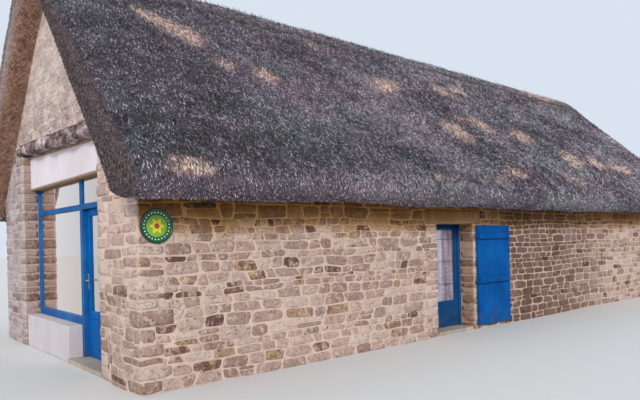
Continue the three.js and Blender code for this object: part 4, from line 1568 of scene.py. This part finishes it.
stone_flags, wire = new_finish("stone_flags")
where = wire.place()
flags = wire.node(
    "ShaderNodeTexBrick",
    {"offset": 0.4, "offset_frequency": 2, "squash": 0.8, "squash_frequency": 3},
    {
        "Vector": where,
        "Color1": srgb(150, 138, 126),
        "Color2": srgb(174, 160, 146),
        "Mortar": srgb(132, 122, 110),
        "Scale": 1.0,
        "Mortar Size": 0.008,
        "Bias": 0.0,
        "Brick Width": 0.62,
        "Row Height": 0.46,
    },
)
dust = where.cloud(5.0, 5.0, 0.6)
flag_color = (dust.band(0.40, 0.75) * 0.5).blended(flags, srgb(186, 174, 160))
close_finish(stone_flags, flag_color, 0.7, dust + where.cloud(60.0, 3.0, 0.6) * 0.5, 0.004)
wear("floor", stone_flags)

# Blue joinery
# Softwood frames and doors with planed arrises, in bright blue gloss that has dulled and rubbed thin on the
# edges; the pale edges and upward faces are also painted light. The doorway's darker blues are painted shade,
# and the gable frame's greyer blues are faded paint with a painted sheen. Putty beads hold the panes, and the
# doors turn on knuckles inside.
LEAF_BLUES = (srgb(0, 68, 132), srgb(0, 82, 152), srgb(0, 98, 172))
# The gable frame's paler, greyer blues are faded paint with a painted sheen of the sky
GABLE_BLUES_WITH_SHEEN = (srgb(24, 72, 128), srgb(30, 86, 144), srgb(44, 108, 170))
# The doorway's darker blues are the paint in painted shade, under the lintel and the eave
SHADED_DOORWAY_BLUES = (srgb(14, 54, 96), srgb(18, 66, 112), srgb(26, 80, 132))
BRUSHING = (46, 46, 3)
LEDGE_SHADE = 0.026
NO_SHADE = 9.0


def paint(name, deep, plain, faded, ledges=(), shade_from=NO_SHADE, bare_heads=()):
    """Blue paint with faint brush marks up the boards, pale rubbed arrises that also carry a painted
    highlight, painted light on upward faces, a few chips and a little grime.

    ledges are heights with a line of shade under them, and above shade_from the paint is in deep shade.
    Each of bare_heads is a stretch across the gable where the frame's head shows bare timber.
    """
    material, wire = new_finish(name)
    where = wire.place()
    brush = where.stretched(*BRUSHING).cloud(1.0, 5.0, 0.6)
    fade = where.cloud(1.8, 4.0, 0.6)
    color = fade.ramp((0.30, deep), (0.50, plain), (0.78, faded))
    color = (brush.band(0.58, 0.80) * 0.3).blended(color, faded)
    # Paler on upward faces as painted light, and on arrises as rubbed paint with a painted highlight
    rubbed = wire.painted("rubbed")
    color = (rubbed * (brush * 0.5 + 0.35)).blended(color, srgb(136, 176, 214))
    up = where.part("Z")
    for ledge in ledges:
        under = up.within(ledge - LEDGE_SHADE, ledge)
        color = (under * 0.7).blended(color, srgb(0, 34, 74))
    # Painted deep shade above shade_from
    painted_deep_shade = up.band(shade_from, shade_from + 0.04)
    color = (painted_deep_shade * 0.6).blended(color, srgb(20, 26, 30))
    for low, high in bare_heads:
        between = where.part("Y").within(corner.y + low, corner.y + high)
        color = ((up > 2.503) * between).blended(color, srgb(104, 78, 58))
        color = ((up > 2.5155) * between).blended(color, srgb(190, 160, 128))
    chips = where.cloud(55.0, 4.0, 0.75).band(0.69, 0.72)
    color = (chips * 0.7).blended(color, srgb(140, 146, 150))
    grime = (1 - up.band(0.05, 0.55)) * where.cloud(11.0, 4.0, 0.6).band(0.45, 0.65)
    color = (grime * 0.5).blended(color, srgb(70, 78, 80))
    relief = brush + where.cloud(90.0, 2.0, 0.5) * 0.3
    return close_finish(material, color, brush * 0.25 + 0.30, relief, 0.0012, Specular_IOR_Level=0.03)


leaf_paint = paint("blue_paint", *LEAF_BLUES)
sheened_gable_paint = paint("gable_blue_sheened", *GABLE_BLUES_WITH_SHEEN, bare_heads=((1.192, 2.355), (2.437, 4.367)))
shaded_doorway_paint = paint("doorway_blue_in_shade", *SHADED_DOORWAY_BLUES, shade_from=1.74)
for name, finish, body in (
    ("gable_frame", sheened_gable_paint, "cottage"),
    ("rear_window_frame", leaf_paint, "cottage"),
    ("gable_door_leaf", leaf_paint, "gable_door"),
    ("front_door_frame", shaded_doorway_paint, "cottage"),
    ("front_door_leaf", shaded_doorway_paint, "front_door"),
):
    soften(name, name + "_painted", finish, 0.004, body=body)


def bead_frame(bm, low, high, face, out, width, depth):
    """A mitred bead round a pane. face is the axis that the pane faces and out the side, -1 or 1."""
    side, up = 1 - face, 2
    base = low[face] if out < 0 else high[face]
    corners = [
        (low[side], low[up], 1, 1),
        (high[side], low[up], -1, 1),
        (high[side], high[up], -1, -1),
        (low[side], high[up], 1, -1),
    ]
    section = [(0.0, 0.0), (0.0, depth), (width * 0.35, depth), (width, depth * 0.35), (width, 0.0)]
    rings = []
    for a, b, da, db in corners:
        ring = []
        for inward, proud in section:
            point = [0.0, 0.0, 0.0]
            point[side] = a + da * inward
            point[up] = b + db * inward
            point[face] = base + out * proud
            ring.append(bm.verts.new(corner + Vector(point)))
        rings.append(ring)
    bridge(bm, rings, closed=True)


beads = bmesh.new()
for y0, y1, z0, z1 in (
    (2.4363, 4.3677, 0.6103, 2.0997),
    (2.4363, 4.3677, 2.1653, 2.5147),
    (1.1903, 2.3557, 2.1653, 2.5147),
):
    bead_frame(beads, (0.2455, y0, z0), (0.2545, y1, z1), 0, -1, 0.010, 0.010)
    bead_frame(beads, (0.2455, y0, z0), (0.2545, y1, z1), 0, 1, 0.012, 0.010)
finish_mesh(beads, "gable_window_beads", sheened_gable_paint, smooth=False)

beads = bmesh.new()
for out in (-1, 1):
    bead_frame(beads, (0.2985, 1.3083, 0.6903), (0.3065, 2.2377, 2.0117), 0, out, 0.014, 0.012)
bead_frame(beads, (0.2805, 1.320, 0.20), (0.3255, 2.226, 0.61), 0, -1, 0.018, 0.006)
finish_mesh(beads, "gable_door_beads", leaf_paint, "gable_door", smooth=False)

GLAZING_BAR = 0.007
beads = bmesh.new()
bead_frame(beads, (5.0923, 0.3178, 0.5003), (5.8717, 0.3252, 1.7317), 1, -1, 0.009, 0.008)
for z in (0.80, 1.18, 1.56):
    low, high = z - GLAZING_BAR / 2, z + GLAZING_BAR / 2
    board(beads, (5.0925, 0.3120, low), (5.8715, 0.3174, high), 0.0015)
bead_frame(beads, (5.105, 0.3055, 0.165), (5.859, 0.3445, 0.425), 1, -1, 0.018, 0.006)
finish_mesh(beads, "front_door_beads", shaded_doorway_paint, "front_door", smooth=False)

REAR_PANE_Y = (WALL_WIDTH - 0.2502, WALL_WIDTH - 0.2418)
REAR_BAR_Y = (WALL_WIDTH - 0.2405, WALL_WIDTH - 0.224)
beads = bmesh.new()
bead_frame(beads, (8.2703, REAR_PANE_Y[0], 0.9203), (9.1297, REAR_PANE_Y[1], 1.7497), 1, 1, 0.016, 0.014)
board(beads, (8.688, REAR_BAR_Y[0], 0.9205), (8.712, REAR_BAR_Y[1], 1.7495), 0.003)
for x0, x1 in ((8.2705, 8.6875), (8.7125, 9.1295)):
    board(beads, (x0, REAR_BAR_Y[0], 1.323), (x1, REAR_BAR_Y[1] - 0.002, 1.347), 0.003)
finish_mesh(beads, "rear_window_beads", leaf_paint, smooth=False)

# Panes
# Float glass that mirrors the sky and the reveal at a slant and shows the dim room straight on.


def glass(name, gain, base, tint):
    """Clear glass whose mirroring starts at base and grows towards a slant, gain times one bare surface's."""
    material, wire = new_finish(name)
    where = wire.place()
    ripple = where.cloud(1.6, 2.0, 0.5)
    bump = wire.node("ShaderNodeBump", None, {"Height": ripple, "Distance": 0.004, "Strength": 0.3})
    mirroring = {"Base Color": srgb(255, 241, 230), "Metallic": 1.0, "Roughness": 0.02, "Normal": bump}
    shine = wire.node("ShaderNodeBsdfPrincipled", None, mirroring)
    clear = wire.node("ShaderNodeBsdfTransparent", None, {"Color": tint})
    slant = wire.node("ShaderNodeFresnel", None, {"IOR": 1.5})
    share = (slant * gain + base).clipped()
    mirror = wire.node("ShaderNodeMixShader", None, {0: share, 1: clear, 2: shine})
    wire.node("ShaderNodeOutputMaterial", None, {"Surface": mirror})
    return material


double_glazing = glass("double_glazing", 3.85, 0.08, srgb(206, 214, 214))
single_pane = glass("single_pane", 0.5, 0.0, srgb(254, 254, 255))
for name in ("gable_window_glass", "gable_window_top_light", "gable_door_top_light", "gable_door_glass"):
    wear(name, double_glazing)
for name in ("front_door_glass", "rear_window_glass"):
    wear(name, single_pane)

# Door handles
# A long plate with rounded ends and a straight lever on a round neck, in brushed metal, with a round cover on
# the keyhole below.
PLATE_SIDES = 28
PLATE_HALF_WIDTH = 0.0195
PLATE_STRAIGHT = 0.109 - PLATE_HALF_WIDTH
PLATE_THICK = 0.0078
LEVER_OUT = 0.044
LEVER_LENGTH = 0.106
KEY_DROP = 0.072
brushed, wire = new_finish("brushed_metal")
where = wire.place()
brushing = where.stretched(90, 90, 700).cloud(1.0, 4.0, 0.6)
close_finish(
    brushed,
    brushing.ramp((0.3, srgb(176, 176, 174)), (0.7, srgb(222, 222, 220))),
    brushing * 0.2 + 0.22,
    brushing,
    0.0003,
    Metallic=1.0,
)


def tube(bm, points, radii, sides=16):
    """A round bar through points, closed at both ends. radii gives the radius at each point."""
    rings = []
    across = None
    for i, point in enumerate(points):
        heading = (points[min(i + 1, len(points) - 1)] - points[max(i - 1, 0)]).normalized()
        if across is None:
            across = heading.orthogonal().normalized()
        across = (across - heading * across.dot(heading)).normalized()
        third = heading.cross(across)
        rings.append([bm.verts.new(point + (across * c + third * s) * radii[i]) for c, s in circle(sides)])
    bridge(bm, rings)
    bm.faces.new(rings[0])
    bm.faces.new(rings[-1])


def lever_handle(name, node, body, plate, out, along, neck_z):
    """A handle on a plate whose middle is given. out points off the door and along down the lever."""
    bm = bmesh.new()
    middle = corner + Vector(plate)
    out = Vector(out)
    along = Vector(along)
    outline = []
    for c, s in circle(PLATE_SIDES):
        outline.append((PLATE_HALF_WIDTH * c, math.copysign(PLATE_STRAIGHT, s) + PLATE_HALF_WIDTH * s))
    rings = []
    for proud, shrink in ((0.0, 1.0), (PLATE_THICK * 0.75, 1.0), (PLATE_THICK, 0.93)):
        shrink_up = 1 - (1 - shrink) * 0.2
        ring = []
        for a, z in outline:
            point = middle + along * a * shrink + upright * z * shrink_up + out * proud
            ring.append(bm.verts.new(point))
        rings.append(ring)
    bridge(bm, rings)
    bm.faces.new(rings[0])
    bm.faces.new(rings[-1])

    neck = Vector((middle.x, middle.y, neck_z))
    foot = neck + out * (PLATE_THICK - 0.001)
    tube(bm, [foot, foot + out * 0.004, foot + out * 0.006], [0.0135, 0.0135, 0.011])
    start = foot + out * 0.004
    bend = neck + out * LEVER_OUT
    tip = bend + along * LEVER_LENGTH
    lever = [
        (start, 0.0085),
        (start + out * 0.018, 0.0085),
        (bend - out * 0.008, 0.0086),
        (bend - out * 0.002 + along * 0.003, 0.0086),
        (bend + along * 0.010, 0.0086),
        (bend + along * 0.05, 0.0082),
        (tip - along * 0.006, 0.0078),
        (tip - along * 0.001, 0.0062),
        (tip, 0.0030),
    ]
    tube(bm, [point for point, _ in lever], [radius for _, radius in lever])

    key = Vector((middle.x, middle.y, neck_z - KEY_DROP)) + out * (PLATE_THICK - 0.0005)
    tube(bm, [key, key + out * 0.0022, key + out * 0.0028], [0.0085, 0.0080, 0.0065], 14)
    handle = finish_mesh(bm, name, brushed, body)
    handle.modifiers.new("edges", "WEIGHTED_NORMAL")
    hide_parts(node)


for door, plate, out, along, neck_z in (
    ("gable_door", (0.2797, 2.290, 1.100), (-1, 0, 0), (0, -1, 0), 1.120),
    ("front_door", (5.064, 0.3047, 0.970), (0, -1, 0), (1, 0, 0), 0.990),
):
    lever_handle(door + "_lever", door + "_handle", door, plate, out, along, neck_z)

# Lace curtain
# A gathered net of pale machine lace behind the front door's panes, with a flower ground and a closer hem.
CURTAIN_X = (5.082, 5.878)
CURTAIN_Y = 0.3515
CURTAIN_Z = (0.442, 1.763)
FOLD = 0.0035
FOLDS = 13
COLUMNS = 156
LINES = 40
curtain = bmesh.new()
curtain_uv = curtain.loops.layers.uv.new("lace")
grid = []
flat_run = [0.0] * (COLUMNS + 1)
for i in range(COLUMNS + 1):
    t = i / COLUMNS
    x = CURTAIN_X[0] + (CURTAIN_X[1] - CURTAIN_X[0]) * t
    column = []
    for j in range(LINES + 1):
        h = j / LINES
        z = CURTAIN_Z[0] + (CURTAIN_Z[1] - CURTAIN_Z[0]) * h
        sway = 0.35 * noise.noise(Vector((t * 5, h * 1.5, 2.0)))
        y = CURTAIN_Y + FOLD * math.sin((t * FOLDS + sway) * 2 * math.pi) * (0.75 + 0.25 * h)
        column.append(corner + Vector((x, y, z)))
    grid.append(column)
    if i:
        flat_run[i] = flat_run[i - 1] + (grid[i][LINES // 2] - grid[i - 1][LINES // 2]).length
flat_height = CURTAIN_Z[1] - CURTAIN_Z[0]
verts = [[curtain.verts.new(point) for point in column] for column in grid]
for i in range(COLUMNS):
    for j in range(LINES):
        places = ((i, j), (i + 1, j), (i + 1, j + 1), (i, j + 1))
        face = curtain.faces.new([verts[a][b] for a, b in places])
        for loop, (a, b) in zip(face.loops, places):
            loop[curtain_uv].uv = (flat_run[a], flat_height * b / LINES)
lace, wire = new_finish("lace")
cloth = wire.node("ShaderNodeUVMap", {"uv_map": "lace"})
net = cloth.node("ShaderNodeTexVoronoi", {"feature": "DISTANCE_TO_EDGE"}, {"Vector": cloth, "Scale": 210.0})
flowers = cloth.node("ShaderNodeTexVoronoi", None, {"Vector": cloth, "Scale": 14.0, "Randomness": 0.35})
petals = cloth.cloud(46.0, 3.0, 0.6)
motif = 1 - (flowers + (petals - 0.5) * 0.5).band(0.26, 0.36)
stems = 1 - (cloth.stretched(1, 0.6, 1).cloud(16.0, 3.0, 0.6) - 0.5).of("ABSOLUTE").band(0.006, 0.020)
threads = 1 - net.band(0.02, 0.10)
# Painted light and shade in vertical streaks along the gathered folds
painted_fold_shade = cloth.stretched(1, 0.06, 1).cloud(11.0, 3.0, 0.6)
hem = 1 - cloth.part("Y").band(0.035, 0.045)
cover = (motif * 0.3 + stems * 0.2 + threads * 0.2 + hem * 0.4 + 0.86).clipped()
lace_color = (motif * 0.3 + stems * 0.2 + (painted_fold_shade - 0.5) * 3.4 + 0.38).ramp(
    (0.0, srgb(134, 132, 160)), (0.5, srgb(186, 186, 212)), (1.0, srgb(222, 220, 240))
)
close_finish(lace, lace_color, 0.9, cover, 0.0008, Alpha=cover)
curtain_piece = finish_mesh(curtain, "lace_curtain", lace, "front_door")
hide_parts("front_door_curtain")

# Shutter
# Six upright boards, edge to edge with a small chamfer, nailed to two battens. Strap hinges bolted over the
# battens end in eyes that turn on the pintles, and everything is painted the same blue.
SHUTTER_BLUES = (srgb(0, 58, 120), srgb(0, 75, 141), srgb(4, 92, 164))
SHUTTER_X = (6.032, 7.022)
SHUTTER_Z = (0.070, 1.790)
SHUTTER_Y = (-0.063, -0.027)
BATTEN_Z = (0.841, 1.607)
BATTEN_HALF = 0.050
PIN_AT = (6.006, -0.045)
BOARDS = 6
BOARD_GAP = 0.0012
STRAP_HALF = 0.0195
EYE_SIDES = 24
SHUTTER_SEED = 51
shutter = bmesh.new()
board_width = (SHUTTER_X[1] - SHUTTER_X[0]) / BOARDS
rng = random.Random(SHUTTER_SEED)
for i in range(BOARDS):
    x0 = SHUTTER_X[0] + board_width * i + BOARD_GAP / 2
    x1 = SHUTTER_X[0] + board_width * (i + 1) - BOARD_GAP / 2
    wander = rng.uniform(0, 0.002)
    board(
        shutter,
        (x0, SHUTTER_Y[0] + wander, SHUTTER_Z[0] + rng.uniform(0, 0.004)),
        (x1, SHUTTER_Y[1], SHUTTER_Z[1] - rng.uniform(0, 0.003)),
        0.0035,
    )
for z in BATTEN_Z:
    low, high = z - BATTEN_HALF, z + BATTEN_HALF
    board(shutter, (6.060, -0.085, low), (6.994, SHUTTER_Y[0] + 0.001, high), 0.007)
    for x0, x1, y0, y1 in (
        (6.0530, 6.6400, -0.0905, -0.0845),
        (6.0530, 6.0595, -0.0900, -0.0625),
        (6.0270, 6.0590, -0.0675, -0.0625),
        (6.0270, 6.0315, -0.0670, -0.0380),
        (6.0120, 6.0310, -0.0520, -0.0380),
    ):
        board(shutter, (x0, y0, z - STRAP_HALF), (x1, y1, z + STRAP_HALF), 0.0018)
    eye = corner + Vector((PIN_AT[0], PIN_AT[1], z))
    rings = []
    for radius, height in (
        (0.0076, -0.0200),
        (0.0128, -0.0200),
        (0.0140, -0.0185),
        (0.0140, 0.0185),
        (0.0128, 0.0200),
        (0.0076, 0.0200),
    ):
        points = [eye + Vector((radius * c, radius * s, height)) for c, s in circle(EYE_SIDES)]
        rings.append([shutter.verts.new(point) for point in points])
    bridge(shutter, rings, closed=True)
batten_feet = [z - BATTEN_HALF for z in BATTEN_Z]
shutter_paint = paint("shutter_blue", *SHUTTER_BLUES, ledges=batten_feet)
shutter_piece = finish_mesh(
    shutter, "boarded_shutter", shutter_paint, "door_shutter", smooth=False
)
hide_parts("shutter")

# Bolts and nails of the shutter
# Domed bolt heads along each strap, and two pairs of small clenched nails where each board meets a batten.
BOLT_X = (6.12, 6.24, 6.38, 6.52, 6.62)
STRAP_FACE = -0.0903
BATTEN_FACE = -0.0848
NAILED_X = (6.07, 6.985)
NAIL_LIFT = 0.033
NAIL_SIZE = 0.55
HEAD_TAPER = 0.55


def fastener_tree(material):
    """Puts a low domed head on each point of a mesh, scaled by the point's size attribute."""
    tree, add = new_tree(
        "fasteners", (("Head radius", "NodeSocketFloat"), ("Head height", "NodeSocketFloat"))
    )
    given = add("NodeGroupInput").outputs
    top = add("ShaderNodeMath", {"operation": "MULTIPLY"}, {0: given["Head radius"], 1: HEAD_TAPER})
    head = add(
        "GeometryNodeMeshCone",
        None,
        {
            "Vertices": 12,
            "Side Segments": 1,
            "Radius Top": top.outputs[0],
            "Radius Bottom": given["Head radius"],
            "Depth": given["Head height"],
        },
    )
    outward = add("FunctionNodeAlignRotationToVector", {"axis": "Z"}, {"Vector": (0, -1, 0)})
    size = add("GeometryNodeInputNamedAttribute", {"data_type": "FLOAT"}, {"Name": "size"})
    placed = add(
        "GeometryNodeInstanceOnPoints",
        None,
        {
            "Points": given["Geometry"],
            "Instance": head.outputs["Mesh"],
            "Rotation": outward.outputs[0],
            "Scale": size.outputs["Attribute"],
        },
    )
    real = add("GeometryNodeRealizeInstances", None, {0: placed.outputs[0]})
    dressed = add("GeometryNodeSetMaterial", None, {"Geometry": real.outputs[0], "Material": material})
    add("NodeGroupOutput", None, {0: dressed.outputs[0]})
    return tree


spots = []
for z in BATTEN_Z:
    for x in BOLT_X:
        spots.append((corner + Vector((x, STRAP_FACE, z)), 1.0))
    for i in range(BOARDS):
        for side in (0.3, 0.7):
            x = SHUTTER_X[0] + board_width * (i + side)
            for lift in (-NAIL_LIFT, NAIL_LIFT):
                if NAILED_X[0] < x < NAILED_X[1]:
                    spots.append((corner + Vector((x, BATTEN_FACE, z + lift)), NAIL_SIZE))
spot_mesh = bpy.data.meshes.new("shutter_bolts")
spot_mesh.from_pydata([place for place, _ in spots], [], [])
spot_sizes = spot_mesh.attributes.new("size", "FLOAT", "POINT")
for i, (_, size) in enumerate(spots):
    spot_sizes.data[i].value = size
bolt_size = {"Head radius": 0.0085, "Head height": 0.0042}
grow(spot_mesh, "shutter_bolts", fastener_tree(leaf_paint), bolt_size, "door_shutter")

# Pintles
# Wrought pins on shanks let into the jamb, black paint worn to rust.
iron, wire = new_finish("wrought_iron")
where = wire.place()
rust = where.cloud(60.0, 5.0, 0.7)
close_finish(
    iron,
    rust.ramp((0.40, srgb(34, 34, 36)), (0.56, srgb(58, 48, 42)), (0.70, srgb(112, 66, 40))),
    rust * 0.4 + 0.45,
    rust,
    0.001,
)
wear("pintle_lower", iron)
wear("pintle_upper", iron)

# Plaque
# A stove-enamelled steel disc with a rolled rim: a dark green band with a ring of plain dots, round a
# yellow-green boss with a plain yellow flower of six petals.
PLAQUE_SIDES = 96
PETALS = 6
DOTS = 24
DOT_RING = 0.765
plaque_low, plaque_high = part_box("wall_plaque")
plaque_middle = (plaque_low + plaque_high) / 2
plaque_radius = (plaque_high.x - plaque_low.x) / 2
plaque = bmesh.new()
section = [
    (0.0, 0.020),
    (0.30, 0.0195),
    (0.60, 0.0185),
    (0.66, 0.0150),
    (0.88, 0.0150),
    (0.92, 0.0200),
    (0.96, 0.0240),
    (0.985, 0.0235),
    (1.0, 0.0190),
    (1.0, 0.0),
    (0.90, 0.0),
]
section_rings = []
for reach, proud in section:
    y = plaque_high.y - 0.0005 - proud
    if reach == 0:
        section_rings.append([plaque.verts.new((plaque_middle.x, y, plaque_middle.z))])
        continue
    ring = []
    for c, s in circle(PLAQUE_SIDES):
        x = plaque_middle.x + plaque_radius * reach * c
        z = plaque_middle.z + plaque_radius * reach * s
        ring.append(plaque.verts.new((x, y, z)))
    section_rings.append(ring)
centre, first_ring = section_rings[0][0], section_rings[1]
for j in range(PLAQUE_SIDES):
    plaque.faces.new((centre, first_ring[j], first_ring[(j + 1) % PLAQUE_SIDES]))
bridge(plaque, section_rings[1:])
plaque.faces.new(section_rings[-1])
enamel, wire = new_finish("plaque_enamel")
where = wire.place()
px = where.part("X") - plaque_middle.x
pz = where.part("Z") - plaque_middle.z
reach = (px * px + pz * pz).of("SQRT") * (1 / plaque_radius)
bearing = px.maths("ARCTAN2", pz, px)
petals = (bearing * PETALS).of("COSINE")
past_flower = reach - (petals * 0.09 + 0.36)
color = (1 - past_flower.band(-0.01, 0.01)).blended(srgb(122, 172, 40), srgb(226, 206, 40))
heart = 1 - reach.band(0.15, 0.165)
color = heart.blended(color, srgb(150, 78, 40))
color = reach.band(0.62, 0.635).blended(color, srgb(6, 84, 52))
turns = (bearing * (DOTS / (2 * math.pi))).of("FRACT") - 0.5
dot_across = turns * (2 * math.pi / DOTS) * reach
dot_out = reach - DOT_RING
dot = (dot_across * dot_across + dot_out * dot_out).of("SQRT")
color = (1 - dot.band(0.034, 0.044)).blended(color, srgb(226, 232, 222))
color = reach.band(0.905, 0.915).blended(color, srgb(10, 58, 38))
wear_marks = where.cloud(30.0, 5.0, 0.7).band(0.62, 0.72)
color = (wear_marks * 0.3).blended(color, srgb(120, 120, 100))
gloss = where.cloud(12.0, 3.0, 0.5) * 0.2 + 0.22
close_finish(enamel, color, gloss, where.cloud(40.0, 2.0, 0.5), 0.0006)
plaque_piece = finish_mesh(plaque, "round_plaque", enamel)
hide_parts("wall_plaque")
